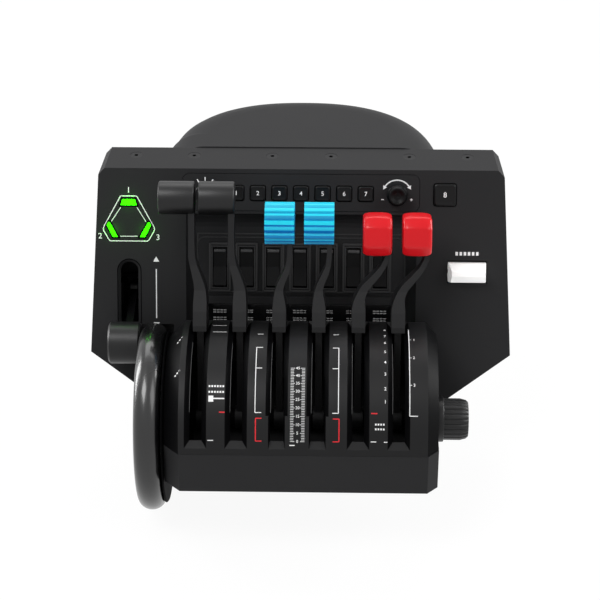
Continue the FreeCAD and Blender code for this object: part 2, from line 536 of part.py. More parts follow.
# =============================================================== levers
# blade outlines seen from the user: height over the head's foot, sideways offset, width
HEAD_R = DRUM_R - 2.4                 # foot of the lever heads, just inside the drum's surface
BLADE_A = [(0, 0, 10.6), (22.4, 0, 10.6), (28.1, 0, 9.7), (32.1, -.1, 9), (37.2, -1.2, 8),
           (43.8, -3.2, 6.9), (50.4, -5.3, 5.8), (57, -6.7, 5.5), (66.4, -6.8, 4.8),
           (97.4, -6.8, 4.8)]
BLADE_B = [(0, 0, 10.6), (17.8, 0, 10.6), (24.2, -.2, 9), (28.1, -.4, 7.4), (32.1, -.2, 6.4),
           (37.2, 1.4, 5.8), (43.8, 4.5, 5.5), (50.4, 6.9, 4.2), (57, 7.7, 4), (66.4, 8, 4),
           (75.4, 8, 4)]
BLADE_C = [(0, 0, 10.6), (17.8, 0, 10.8), (24.2, .4, 8.6), (28.1, 1.7, 7.6), (32.1, 3.5, 7.4),
           (37.2, 7.4, 8), (43.8, 13.7, 6.7), (50.4, 18.8, 4.8), (57, 21.7, 4), (62.4, 22.1, 4),
           (66.4, 22.1, 4)]


def lever(xc, blade):
    right = [(xc + o + w / 2, HEAD_R + r) for r, o, w in blade]
    left = [(xc + o - w / 2, HEAD_R + r) for r, o, w in reversed(blade)]
    front = prism_y(right + left, -40, 40)
    top = blade[-1][0]
    half = [(-18, -14.6), (-18, 4.4), (-15.5, 15.4), (-10.5, 31.4), (-7, 50.4), (-6, top),
            (6, top), (7, 50.4), (8.5, 31.4), (10.5, 15.4), (12, 4.4), (12, -14.6)]
    side = prism_x([(y, HEAD_R + r) for y, r in half], xc - 40, xc + 40)
    head = front.common(side).cut(cyl_x(HEAD_R, xc - 20, xc + 20))
    stem = prism_x([(-6, 0), (-10, HEAD_R - 14.6), (-11, HEAD_R + 1.4), (9, HEAD_R + 1.4),
                    (8, HEAD_R - 14.6), (6, 0)], xc - STEM_W / 2, xc + STEM_W / 2)
    arm = head.fuse(stem).fuse(cyl_x(HUB_R, xc - HUB_W / 2, xc + HUB_W / 2))
    arm = arm.cut(cyl_x(SHAFT_R + RUN, xc - 10, xc + 10))
    return arm.removeSplitter()


BLACK_R, BLACK_Z = 13.5, HEAD_R + 102.9
BLUE_R, BLUE_Z, RIB_COUNT, RIB_DEPTH = 16.4, HEAD_R + 83.4, 14, 0.9
RIBS = []                             # (radius, angle) outline with flat-topped ribs
for k in range(RIB_COUNT):
    for part, r in ((-0.5, BLUE_R), (-0.17, BLUE_R + 0.1), (0.16, BLUE_R), (0.27, BLUE_R - RIB_DEPTH),
                    (0.39, BLUE_R - RIB_DEPTH)):
        RIBS.append((r, 2 * math.pi * (k + part) / RIB_COUNT))
RED_Z = HEAD_R + 74.9
RED_SIDE = [(-11, -17), (-15.5, -10), (-17, 1), (-15, 11), (-9, 17), (9, 17), (14, 11), (15, 0),
            (13, -10), (9, -17)]
RED_CROWN = [(0, 0.86), (0.05, 0.93), (0.25, 0.985), (0.5, 1), (0.75, 0.985), (0.95, 0.93), (1, 0.86)]


def ring_x(outline, x, k, z):
    """Side outline scaled by k about its middle, as a ring of points at x."""
    return [V(x, y * k, z + h * k) for y, h in outline]


HANDLE_X = [(-110.3, -81.3), (-79.2, -50.2), (-27.9, -3.9), (2.9, 26.9), (48.2, 71.9), (79.0, 102.7)]
for i, x in enumerate(SLOT_X):
    x0, x1 = HANDLE_X[i]
    blade = (BLADE_A, BLADE_A, BLADE_B, BLADE_B, BLADE_C, BLADE_C)[i]
    arm = lever(x, blade)
    if i < 2:
        h = barrel(x0, x1, BLACK_R, BLACK_Z, 1.2)
    elif i < 4:
        h = prism_x([(r * math.sin(a), BLUE_Z + r * math.cos(a)) for r, a in RIBS], x0, x1)
    else:
        h = skin([ring_x(RED_SIDE, x0 + f * (x1 - x0), k, RED_Z) for f, k in RED_CROWN])
    h = h.cut(arm)
    keep("lever_arm_%d" % (i + 1), at_angle(arm, REST_A))
    keep("handle_%d" % (i + 1), at_angle(h, REST_A))

keep("lever_shaft", cyl_x(SHAFT_R, -91.5, 112.0))
edges = [-91.0] + [v for x in SLOT_X for v in (x - HUB_W / 2, x + HUB_W / 2)] + [98.6]
spacers = []
for k in range(0, len(edges), 2):
    a, b = edges[k] + 0.12, edges[k + 1] - 0.12
    spacers.append(cyl_x(7.0, a, b).cut(cyl_x(SHAFT_R + 0.01, a - 1, b + 1)))
keep("shaft_spacers", group(spacers))

# left bearing post between lever shaft and trim shaft, standing on the base plate
post = box(-93.6, -90.9, -12, 12, BASE_BOT + 2.85, 12).fuse(
    box(-93.6, -84, -12, 12, BASE_BOT + 2.85, BASE_BOT + 4.85)).cut(cyl_x(SHAFT_R + 0.01, -95, -91.4))
keep("shaft_post", post.cut(cyl_x(SHAFT_R + 0.01, -92, -90)))

# =============================================================== trim wheel
xm = (WHEEL_X0 + WHEEL_X1) / 2
hw = (WHEEL_X1 - WHEEL_X0) / 2
rim_pts = []
for k in range(9):
    a = math.radians(-90 + 180.0 * k / 8)
    rim_pts.append((xm + hw * math.sin(a), WHEEL_R - 9.0 + 9.0 * math.cos(a)))
rim_pts += [(xm + hw, 58.5), (xm + hw - 3.5, 55.0), (xm - hw + 3.5, 55.0), (xm - hw, 58.5)]
rim = revolve_x(rim_pts)
rim = rim.cut(revolve_x([(xm - 1.6, 50), (xm + 1.6, 50), (xm + 1.6, 57.0), (xm - 1.6, 57.0)]))
keep("trim_wheel_rim", rim)
web = revolve_x([(xm - 1.5, 5.0), (xm + 1.5, 5.0), (xm + 1.5, 56.9), (xm - 1.5, 56.9)])
web = web.fuse(cyl_x(12, xm - 8, xm + 7).cut(cyl_x(5.0, xm - 9, xm + 9)))
web = web.fuse(cyl_x(12, xm - 9.5, xm - 8))
keep("trim_wheel_hub", web.removeSplitter())
keep("trim_shaft", cyl_x(TRIM_SHAFT_R, xm - 7.9, -94.2).cut(cyl_x(1, xm - 9, xm - 4)))
side_disc = revolve_x([(-104.7, TRIM_SHAFT_R + 0.3), (-103.35, TRIM_SHAFT_R + 0.3),
                       (-103.35, SIDE_DISC_R - 1), (-104.2, SIDE_DISC_R), (-104.7, SIDE_DISC_R)])
keep("wheel_side_disc", side_disc)

# =============================================================== friction knob
FLANGE_R, FK_R, FK_X0, FK_X1 = 18.2, 16.6, 109.0, 134.6
fk = revolve_x([(FK_X0, 0), (FK_X0, FLANGE_R), (FK_X0 + 6, FLANGE_R), (FK_X0 + 6, FK_R),
                (FK_X1 - 6.5, FK_R), (FK_X1, 13.8), (FK_X1, 0)])
fk = fk.cut(cyl_x(SHAFT_R + RUN, FK_X0 - 1, 112.4))
keep("friction_knob", fk)

# =============================================================== electronics
pcb = box(-60, 60, 100, 170, -8.0, -6.4)
for sx in (-1, 1):
    pcb = pcb.cut(cyl_z(9.0, sx * CLAMP_X, CLAMP_Y, -20, 20))
pcb = pcb.fuse(box(-20, -6, 120, 134, -6.4, -4.6)).fuse(box(20, 32, 140, 148, -6.4, -2))
for sx in (-1, 1):
    pcb = pcb.fuse(box(sx * 50 - 3, sx * 50 + 3, 150, 156, BASE_BOT + 2.85, -7.9))
keep("circuit_board", pcb.removeSplitter())

inlet = box(-6.3, 6.3, USB_Y - 13, USB_Y - 0.4, -6.8, 4.8).cut(
    box(-4.3, 4.3, USB_Y - 11, USB_Y + 1, -4.9, 2.9))
keep("usb_inlet", inlet)

os.makedirs("parts", exist_ok=True)
for name, shape in NODES.items():
    shape.exportStep("parts/%s.step" % name)
print(len(NODES), "nodes")
for name, shape in NODES.items():
    b = shape.BoundBox
    print("%-18s solids %2d valid %s  X %.1f..%.1f Y %.1f..%.1f Z %.1f..%.1f" % (
        name, len(shape.Solids), shape.isValid(), b.XMin, b.XMax, b.YMin, b.YMax, b.ZMin, b.ZMax))
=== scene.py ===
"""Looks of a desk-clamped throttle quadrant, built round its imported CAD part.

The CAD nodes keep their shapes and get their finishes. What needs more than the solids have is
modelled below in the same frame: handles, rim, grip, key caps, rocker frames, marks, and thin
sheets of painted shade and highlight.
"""
from __future__ import annotations

import logging
from contextlib import contextmanager
from dataclasses import dataclass, field
from enum import Enum
from math import atan2, cos, pi, radians, sin, tau
from typing import Any, Callable, Iterator, Sequence

import bpy
from mathutils import Matrix, Vector

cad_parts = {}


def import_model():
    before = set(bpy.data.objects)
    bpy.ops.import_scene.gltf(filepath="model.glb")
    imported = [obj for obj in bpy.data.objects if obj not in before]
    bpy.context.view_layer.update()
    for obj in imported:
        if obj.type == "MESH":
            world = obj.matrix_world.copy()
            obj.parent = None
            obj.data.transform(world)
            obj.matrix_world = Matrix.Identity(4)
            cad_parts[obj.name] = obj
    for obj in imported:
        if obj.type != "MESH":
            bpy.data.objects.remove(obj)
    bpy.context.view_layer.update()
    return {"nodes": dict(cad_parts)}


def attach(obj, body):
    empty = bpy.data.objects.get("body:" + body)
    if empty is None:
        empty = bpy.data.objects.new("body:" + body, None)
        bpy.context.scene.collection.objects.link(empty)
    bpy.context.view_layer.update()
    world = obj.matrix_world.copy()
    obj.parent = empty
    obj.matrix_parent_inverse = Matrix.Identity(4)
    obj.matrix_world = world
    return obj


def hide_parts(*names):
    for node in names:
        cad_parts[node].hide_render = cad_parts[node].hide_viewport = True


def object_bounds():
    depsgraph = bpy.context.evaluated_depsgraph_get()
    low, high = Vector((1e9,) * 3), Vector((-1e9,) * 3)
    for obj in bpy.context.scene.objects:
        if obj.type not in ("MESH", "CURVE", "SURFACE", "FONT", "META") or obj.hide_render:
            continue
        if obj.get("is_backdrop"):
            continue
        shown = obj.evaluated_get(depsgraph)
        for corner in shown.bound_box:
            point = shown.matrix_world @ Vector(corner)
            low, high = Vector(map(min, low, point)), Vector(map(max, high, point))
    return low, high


LOG = logging.getLogger("quadrant")
Item = bpy.types.Object
MM = 0.001
SHAFT = Vector((0.0, -0.110, 0.0193))      # axis of the levers, in the part's frame
LEAN = radians(22.0)                       # how far the panel leans back
PANEL_Y = 38.0                             # panel's front plane at the height of the shaft, mm
DRUM_R = 77.0
STROKE = 0.62                              # width of a printed line on the drum
REST = radians(108.5)                      # direction of the levers at rest, from the front
ALONG_X = (0.0, pi / 2, 0.0)               # turns an upright shape to lie along the shaft
WHITE = (1.0, 1.0, 1.0, 1.0)               # linear, of the surround
LEVERS, LEVER_PITCH = 6, 31.0
ROCKERS, ROCKER_PITCH = 7, 21.65           # rockers, window fields and small keys alike
ROCKER_X, ROCKER_UP = -65.6, 99.7          # first rocker's centre on the panel
LAMP_X = -138.3                            # middle of the lamps and of the gear lever's slot
KNOB_X, KNOB_UP = 76.8, 161.2              # the two knobs of the strip, left and right
LEFT_CHAMFER, RIGHT_CHAMFER = -90.5, 99.7  # where the drum's end chamfers begin


# ---------- places
def on_panel(x: float, up: float, out: float = 0.0) -> Vector:
    """Point on the leaning panel.

    Args:
        x: millimetres to the right of the middle.
        up: millimetres up the panel.
        out: millimetres out of its front plane.

    Returns:
        The point in metres.
    """
    y = PANEL_Y + up * sin(LEAN) - out * cos(LEAN)
    z = up * cos(LEAN) + out * sin(LEAN)
    return SHAFT + Vector((x, y, z)) * MM


def on_drum(x: float, arc: float, out: float = 0.0) -> Vector:
    """Point on the drum.

    Args:
        x: millimetres to the right of the middle.
        arc: millimetres along the drum's surface, from the level of the shaft at the front.
        out: millimetres off the surface.

    Returns:
        The point in metres.
    """
    turn = arc / DRUM_R
    chamfer = max(0.0, LEFT_CHAMFER - x, x - RIGHT_CHAMFER)
    reach = DRUM_R - chamfer + out
    return SHAFT + Vector((x, -reach * cos(turn), reach * sin(turn))) * MM


def on_lever(x: float, across: float, reach: float) -> Vector:
    """Point on a lever at rest.

    Args:
        x: millimetres to the right of the middle.
        across: millimetres behind the lever's centre line.
        reach: millimetres from the shaft along the lever.

    Returns:
        The point in metres.
    """
    y = -reach * cos(REST) + across * sin(REST)
    z = reach * sin(REST) + across * cos(REST)
    return SHAFT + Vector((x, y, z)) * MM


def around(x: float, y: float, radius: float, angle_deg: float) -> tuple[float, float]:
    """Point at an angle on a circle round x, y."""
    turn = radians(angle_deg)
    return x + radius * cos(turn), y + radius * sin(turn)


# ---------- materials
def srgb(code: str) -> tuple[float, float, float, float]:
    """Turns an sRGB hex value to linear colour.

    Args:
        code: six hex digits, with or without a leading #.

    Returns:
        Red, green, blue and alpha, linear.
    """
    digits = code.lstrip("#")
    linear = []
    for start in (0, 2, 4):
        value = int(digits[start:start + 2], 16) / 255
        linear.append(value / 12.92 if value <= 0.04045 else ((value + 0.055) / 1.055) ** 2.4)
    return (linear[0], linear[1], linear[2], 1.0)


def fill(node: bpy.types.Node, inputs: dict[str, Any]) -> None:
    """Sets or links inputs of a node.

    Args:
        node: the node.
        inputs: value or output socket for each input, by name or by number.
    """
    for name, value in inputs.items():
        socket = node.inputs[int(name)] if name.isdigit() else node.inputs[name]
        if isinstance(value, bpy.types.NodeSocket):
            node.id_data.links.new(value, socket)
        else:
            socket.default_value = value


def add_node(tree: bpy.types.NodeTree, kind: str, settings: dict[str, Any] | None = None,
             inputs: dict[str, Any] | None = None) -> bpy.types.Node:
    """Adds a node, sets it up and links or fills its inputs.

    Args:
        tree: the node tree.
        kind: the node's type name.
        settings: attributes of the node.
        inputs: value or output socket for each named input.

    Returns:
        The new node.
    """
    node = tree.nodes.new(kind)
    for name, value in (settings or {}).items():
        setattr(node, name, value)
    fill(node, inputs or {})
    return node


def start_material(name: str) -> tuple[bpy.types.Material, bpy.types.NodeTree, bpy.types.Node]:
    """Starts a material with nodes.

    Args:
        name: the material's name.

    Returns:
        The material, its node tree and its main shader.
    """
    material = bpy.data.materials.new(name)
    material.use_nodes = True
    return material, material.node_tree, material.node_tree.nodes["Principled BSDF"]


@dataclass(frozen=True)
class Moulding:
    """A moulded plastic: its colour, its fine texture, how much light it throws back, and any
    painted shade or glow.
    """

    name: str
    colour: str
    shade: str
    roughness: float = 0.5
    ior: float = 1.5
    grain_mm: float = 0.6                      # the real grain is finer, and wouldn't show
    grain_depth_mm: float = 0.02
    mottle_mm: float = 40.0
    coat: float = 0.0
    sheen_level: float = 0.5
    edge_mm: float = 0.45
    # glow: a real lamp only in the lit lens; on the white moulding and the inks it is painted light
    glow: float = 0.0
    # painted shade: colours laid in grooves and hollows, on faces that look sideways and on faces
    # that look down
    groove: str = ""
    groove_mm: float = 2.0
    flank: str = ""
    under: str = ""

    def build(self) -> bpy.types.Material:
        """Builds the material.

        Returns:
            The new material.
        """
        material, tree, shader = start_material(self.name)
        fill(shader, {"IOR": self.ior, "Specular IOR Level": self.sheen_level,
                      "Coat Weight": self.coat, "Coat Roughness": 0.08})
        place = add_node(tree, "ShaderNodeTexCoord").outputs["Object"]
        cloud = add_node(tree, "ShaderNodeTexNoise", None,
                         {"Vector": place, "Scale": 1 / (self.mottle_mm * MM), "Detail": 3.0})
        mix = add_node(tree, "ShaderNodeMix", {"data_type": "RGBA"},
                       {"Factor": cloud.outputs["Fac"], "6": srgb(self.colour),
                        "7": srgb(self.shade)})
        colour = mix.outputs[2]
        # painted shade: each of these colours darkens the surface where shade falls
        shade_tints = []     # for each other colour: value, where only it shows, where none of it does
        # painted shade in grooves and hollows, where little of the surround is seen
        if self.groove:
            shut = add_node(tree, "ShaderNodeAmbientOcclusion", {"samples": 8},
                            {"Distance": self.groove_mm * MM})
            shade_tints.append((shut.outputs["AO"], 0.5, 0.95, self.groove))
        if self.under or self.flank:
            normal = add_node(tree, "ShaderNodeNewGeometry").outputs["Normal"]
            facing = add_node(tree, "ShaderNodeSeparateXYZ", None, {"0": normal})
        # painted shade on the faces that look down
        if self.under:
            shade_tints.append((facing.outputs["Z"], -0.3, 0.5, self.under))
        # painted shade on the faces that look sideways, which also get less sheen
        if self.flank:
            sideways = add_node(tree, "ShaderNodeMath", {"operation": "ABSOLUTE"},
                                {"0": facing.outputs["X"]})
            shade_tints.append((sideways.outputs[0], 0.4, 0.12, self.flank))
        for value, other_at, plain_at, code in shade_tints:
            share = add_node(tree, "ShaderNodeMapRange", None,
                             {"Value": value, "From Min": other_at, "From Max": plain_at})
            mixed = add_node(tree, "ShaderNodeMix", {"data_type": "RGBA"},
                             {"Factor": share.outputs["Result"], "6": srgb(code), "7": colour})
            colour = mixed.outputs[2]
        if self.flank:
            sheen = add_node(tree, "ShaderNodeMapRange", None,
                             {"Value": share.outputs["Result"], "To Min": 0.2 * self.sheen_level,
                              "To Max": self.sheen_level})
            fill(shader, {"Specular IOR Level": sheen.outputs["Result"]})
        rough = add_node(tree, "ShaderNodeMapRange", None,
                         {"Value": cloud.outputs["Fac"], "To Min": self.roughness - 0.04,
                          "To Max": self.roughness + 0.05})
        grain = add_node(tree, "ShaderNodeTexNoise", None,
                         {"Vector": place, "Scale": 1 / (self.grain_mm * MM), "Detail": 1.5})
        rounded = add_node(tree, "ShaderNodeBevel", {"samples": 4}, {"Radius": self.edge_mm * MM})
        bump = add_node(tree, "ShaderNodeBump", None,
                        {"Height": grain.outputs["Fac"], "Distance": self.grain_depth_mm * MM,
                         "Strength": 0.5, "Normal": rounded.outputs["Normal"]})
        fill(shader, {"Base Color": colour, "Roughness": rough.outputs["Result"],
                      "Normal": bump.outputs["Normal"]})
        # painted light on pieces that are no lamp; only the lit lens is a real one
        if self.glow:
            fill(shader, {"Emission Color": mix.outputs[2], "Emission Strength": self.glow})
        return material


class Finish(Enum):
    """The finishes on this part, most named for their real material and how the surface was made,
    some for the painted shade or highlight that they carry.
    """

    # spark-eroded mould texture: scatters the light into a soft dark grey
    SHELL = Moulding("textured_abs_moulding", "#202021", "#242425", 0.55, sheen_level=0.13)
    # the same plastic with a smoother tool face on the drum, so that it shows the lights; its faces
    # that look sideways are darker and duller, painted shade
    DRUM = Moulding("satin_abs_drum", "#101011", "#131314", 0.42, sheen_level=0.2,
                    flank="#070708")
    # smoother tool face: a satin sheen on the arms
    ARM = Moulding("satin_nylon_moulding", "#131314", "#161617", 0.48, sheen_level=0.22,
                   grain_mm=0.4)
    # knobs turned or moulded in satin black
    KNOB = Moulding("satin_abs_knob", "#101011", "#131314", 0.38, sheen_level=0.32, grain_mm=0.4)
    # painted shade: near black, for inner faces that little light reaches and for thin dark sheets
    # where shade falls
    RECESS = Moulding("matt_abs_painted_shade", "#050506", "#070708", 0.7, sheen_level=0.03)
    # narrow raised frames: their polished edges catch the light
    FRAME = Moulding("satin_abs_frame", "#1B1B1C", "#1F1F20", 0.36, sheen_level=0.4, edge_mm=0.3)
    # lighter satin on the rockers' finger ridges and along the drum's slot lips: a painted
    # highlight where they catch the light
    RIDGE = Moulding("satin_abs_painted_highlight", "#3A3A3B", "#404041", 0.4)
    # key caps, a shade darker than the strip
    KEY = Moulding("smooth_abs_keycap", "#070708", "#0A0A0B", 0.38, sheen_level=0.18, edge_mm=0.2)
    # rocker faces: smooth and dark
    ROCKER = Moulding("smooth_abs_rocker", "#050506", "#070708", 0.35, sheen_level=0.12)
    # polished tool face on the rim of the wheel: clear highlights
    GLOSS_BLACK = Moulding("polished_abs_rim", "#060607", "#080809", 0.26, coat=0.3)
    # smoked acrylic window: dark until lit
    WINDOW = Moulding("smoked_acrylic_window", "#050506", "#070708", 0.12, ior=1.49,
                      sheen_level=0.3)
    # translucent blue, with painted shade: a deeper blue in its grooves and on the faces that look
    # down
    BLUE = Moulding("glossy_abs_blue", "#12C8E0", "#1AD0E6", 0.3, sheen_level=0.35, edge_mm=0.15,
                    groove="#004EA2", groove_mm=4.0, under="#0A78C4")
    # polished tool face with less sheen than the blue, so that the red stays deep
    RED = Moulding("glossy_abs_red", "#C60C16", "#CE121C", 0.3, coat=0.08, sheen_level=0.22)
    # opaque white with a polished face: the brightest piece, lifted by a little glow, which is
    # painted light
    WHITE = Moulding("glossy_abs_white", "#F6F6F5", "#F9F9F8", 0.35, glow=0.28)
    # back-lit polycarbonate: its own light is stronger than what falls on it
    LIT = Moulding("lit_polycarbonate_lens", "#38F000", "#40F800", 0.4, glow=0.9, sheen_level=0.1)
    # screen-printed inks, a few hundredths of a millimetre thick: flat and matt; the white and the
    # red glow a little, which is painted light
    INK = Moulding("screen_printed_white_ink", "#D8D8D8", "#E0E0E0", 0.6, edge_mm=0.02, glow=0.16)
    INK_FAINT = Moulding("screen_printed_grey_ink", "#8C8C8C", "#969696", 0.6, edge_mm=0.02)
    INK_RED = Moulding("screen_printed_red_ink", "#C8101C", "#D01824", 0.6, edge_mm=0.02, glow=0.1)
    # compression-moulded rubber: dull, without highlights
    RUBBER = Moulding("moulded_rubber_pad", "#161616", "#1A1A1A", 0.8)
    # solder mask on glass-fibre laminate: smooth and dark green
    BOARD = Moulding("solder_masked_laminate", "#0E4A24", "#125428", 0.35)


@dataclass(frozen=True)
class Metal:
    """A metal: its colour and how its surface was worked."""

    name: str
    colour: str
    roughness: float = 0.35
    line_mm: float = 0.4

    def build(self) -> bpy.types.Material:
        """Builds the material.

        Returns:
            The new material.
        """
        material, tree, shader = start_material(self.name)
        place = add_node(tree, "ShaderNodeTexCoord").outputs["Object"]
        lines = add_node(tree, "ShaderNodeTexNoise", None,
                         {"Vector": place, "Scale": 1 / (self.line_mm * MM), "Detail": 2.0})
        rough = add_node(tree, "ShaderNodeMapRange", None,
                         {"Value": lines.outputs["Fac"], "To Min": self.roughness - 0.08,
                          "To Max": self.roughness + 0.08})
        fill(shader, {"Metallic": 1.0, "Base Color": srgb(self.colour),
                      "Roughness": rough.outputs["Result"]})
        return material


class Worked(Enum):
    """The metals on this part."""

    # chemically blackened steel: a dark, slightly shiny screw head
    BLACKENED = Metal("black_oxide_steel", "#2A2A2B", 0.4)
    # turned on a lathe: bright, with a fine uneven sheen
    TURNED = Metal("turned_steel", "#9C9C9E", 0.28)
    # pressed sheet as it leaves the tool: a duller grey
    PRESSED = Metal("pressed_steel", "#87888A", 0.38)
    # bracket steel far darker and rougher than the black oxide screws: painted shade, as it is seen
    # only in shade
    PAINTED_DARK = Metal("bracket_steel_painted_shade", "#070708", 0.6)
    # machined brass: warm and fairly bright
    BRASS = Metal("machined_brass", "#B98C3C", 0.3)


@dataclass
class Palette:
    """Builds each finish once and hands it out."""

    built: dict[str, bpy.types.Material] = field(default_factory=dict)

    def get(self, finish: Finish | Worked) -> bpy.types.Material:
        """Hands out the material of a finish.

        Args:
            finish: the finish.

        Returns:
            The material, which is built the first time that it is asked for.
        """
        if finish.name not in self.built:
            self.built[finish.name] = finish.value.build()
        return self.built[finish.name]


@dataclass
class CadDress:
    """Gives each CAD node that stays in view its finish."""

    palette: Palette
    nodes: dict[str, Item]

    def dress(self) -> None:
        """Puts the finishes on the nodes."""
        groups = {
            Finish.SHELL: ["base_shell", "base_plate", "panel_housing", "housing_back", "rear_dome",
                           "autopilot_plate", "rocker_bezels", "gear_indicator"],
            # painted shade: inner parts that little light reaches
            Finish.RECESS: ["flap_bracket", "shaft_post", "trim_wheel_hub", "wheel_side_disc",
                            "shaft_spacers"],
            Finish.DRUM: ["drum_cover"],
            Finish.ARM: ["lever_arm_%d" % (i + 1) for i in range(LEVERS)],
            Finish.KNOB: ["selector_knob", "gear_knob", "friction_knob", "handle_1", "handle_2"],
            Finish.KEY: ["gear_arm", "key_master"] + ["key_%d" % (i + 1) for i in range(ROCKERS)],
            Finish.ROCKER: ["encoder_knob"] + ["rocker_%d" % (i + 1) for i in range(ROCKERS)],
            Finish.BLUE: ["handle_3", "handle_4"], Finish.RED: ["handle_5", "handle_6"],
            Finish.WHITE: ["flap_paddle"], Finish.GLOSS_BLACK: ["trim_wheel_rim"],
            Finish.WINDOW: ["annunciator_lens"], Finish.LIT: ["gear_lenses"],
            Finish.RUBBER: ["rubber_pads"], Finish.BOARD: ["circuit_board"],
            Worked.BLACKENED: ["base_screws", "top_screws", "knob_bushes"],
            # painted shade on the bracket inside the gear slot
            Worked.TURNED: ["lever_shaft", "trim_shaft"], Worked.PAINTED_DARK: ["gear_bracket"],
            Worked.PRESSED: ["usb_inlet"], Worked.BRASS: ["clamp_inserts"],
        }
        table = {name: finish for finish, names in groups.items() for name in names}
        for name, node in self.nodes.items():
            for slot in node.material_slots:
                slot.material = self.palette.get(table[name])
            LOG.info("dressed %s", name)


# ---------- workshop
def fresh() -> None:
    """Deselects everything, ready for a new primitive."""
    bpy.ops.object.select_all(action="DESELECT")


def only(item: Item) -> None:
    """Selects one object and makes it the active one.

    Args:
        item: the object.
    """
    fresh()
    item.select_set(True)
    bpy.context.view_layer.objects.active = item


def bevelled(item: Item, width_mm: float, segments: int = 3, angle: float = 35.0) -> None:
    """Rounds the sharp edges of an object with a modifier.

    Args:
        item: the object.
        width_mm: how much of each side the rounding takes.
        segments: facets across the rounding.
        angle: edges that turn by less, in degrees, stay.
    """
    edge = item.modifiers.new("edge", "BEVEL")
    edge.width = width_mm * MM
    edge.segments = segments
    edge.limit_method = "ANGLE"
    edge.angle_limit = radians(angle)


@contextmanager
def editing(select: str = "SELECT") -> Iterator[None]:
    """Opens the active mesh for editing, and goes back to object mode.

    Args:
        select: SELECT or DESELECT, for all of the mesh or nothing.

    Yields:
        Nothing: the edits are made inside the with block.
    """
    bpy.ops.object.mode_set(mode="EDIT")
    bpy.ops.mesh.select_all(action=select)
    yield
    bpy.ops.object.mode_set(mode="OBJECT")


def extrude(x: float, y: float, z: float) -> None:
    """Extrudes what is selected by a step."""
    bpy.ops.mesh.extrude_region_move(TRANSFORM_OT_translate={"value": (x, y, z)})


def sized(item: Item, x: float, y: float, z: float) -> None:
    """Scales an object and applies the scale."""
    item.scale = (x, y, z)
    bpy.ops.object.transform_apply(location=False, rotation=False, scale=True)


def ring_of(count: int, radius: float, face: str = "NGON", place: Sequence[float] = (0, 0, 0),
            turn: Sequence[float] = (0, 0, 0)) -> Item:
    """Adds a circle of points, filled or not, as the start of a shape.

    Args:
        count: how many points it has.
        radius: its radius.
        face: NGON for a filled one, or NOTHING.
        place: its centre.
        turn: its rotation in radians.

    Returns:
        The new object.
    """
    fresh()
    bpy.ops.mesh.primitive_circle_add(vertices=count, radius=radius, fill_type=face,
                                      location=place, rotation=turn)
    return bpy.context.active_object


def settle(item: Item) -> None:
    """Turns an object to a plain mesh at the origin, its modifiers and transform applied.

    Args:
        item: the object.
    """
    only(item)
    bpy.ops.object.convert(target="MESH")
    bpy.ops.object.transform_apply(location=True, rotation=True, scale=True)


def lean(item: Item, x: float, up: float, out: float = 0.0) -> None:
    """Leans an object on its back against the panel, at a place of on_panel."""
    item.rotation_euler = (pi / 2 - LEAN, 0.0, 0.0)
    item.location = on_panel(x, up, out)


def at_rockers(first: Item, above: float, out: float) -> list[Item]:
    """Copies an object so that each rocker has one.

    Args:
        first: the object, lying on its back.
        above: millimetres from a rocker's centre up the panel.
        out: millimetres out of the panel's front plane.

    Returns:
        The object and its copies, each with its own mesh.
    """
    row = [first]
    for _ in range(ROCKERS - 1):
        row.append(bpy.data.objects.new(first.name, first.data.copy()))
        bpy.context.collection.objects.link(row[-1])
    for k, item in enumerate(row):
        lean(item, ROCKER_X + k * ROCKER_PITCH, ROCKER_UP + above, out)
    return row


@dataclass
class Bench:
    """Finishes new pieces: applies what was done to them, and ties them to the part."""

    palette: Palette

    def join(self, items: Sequence[Item]) -> Item:
        """Settles several objects and joins them into the first one.

        Args:
            items: the objects.

        Returns:
            The first object, which now holds them all.
        """
        for item in items:
            settle(item)
        for item in items:
            item.select_set(True)
        bpy.context.view_layer.objects.active = items[0]
        if len(items) > 1:
            bpy.ops.object.join()
        return bpy.context.view_layer.objects.active

    def close(self, item: Item, name: str, finish: Finish | Worked, body: str, slot: str,
              smooth_deg: float = 35.0) -> Item:
        """Applies modifiers and transform, and gives the piece its finish and body.

        Args:
            item: the object.
            name: the piece's name.
            finish: its finish.
            body: the CAD body that it moves with.
            slot: not used.
            smooth_deg: edges flatter than this are shaded smooth.

        Returns:
            The finished object.
        """
        settle(item)
        with editing():
            bpy.ops.mesh.remove_doubles(threshold=0.000001)
            bpy.ops.mesh.normals_make_consistent(inside=False)
        bpy.ops.object.shade_smooth_by_angle(angle=radians(smooth_deg))
        item.name = name
        item.data.name = name
        item.data.materials.clear()
        item.data.materials.append(self.palette.get(finish))
        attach(item, body)
        LOG.info("made %s", name)
        return item


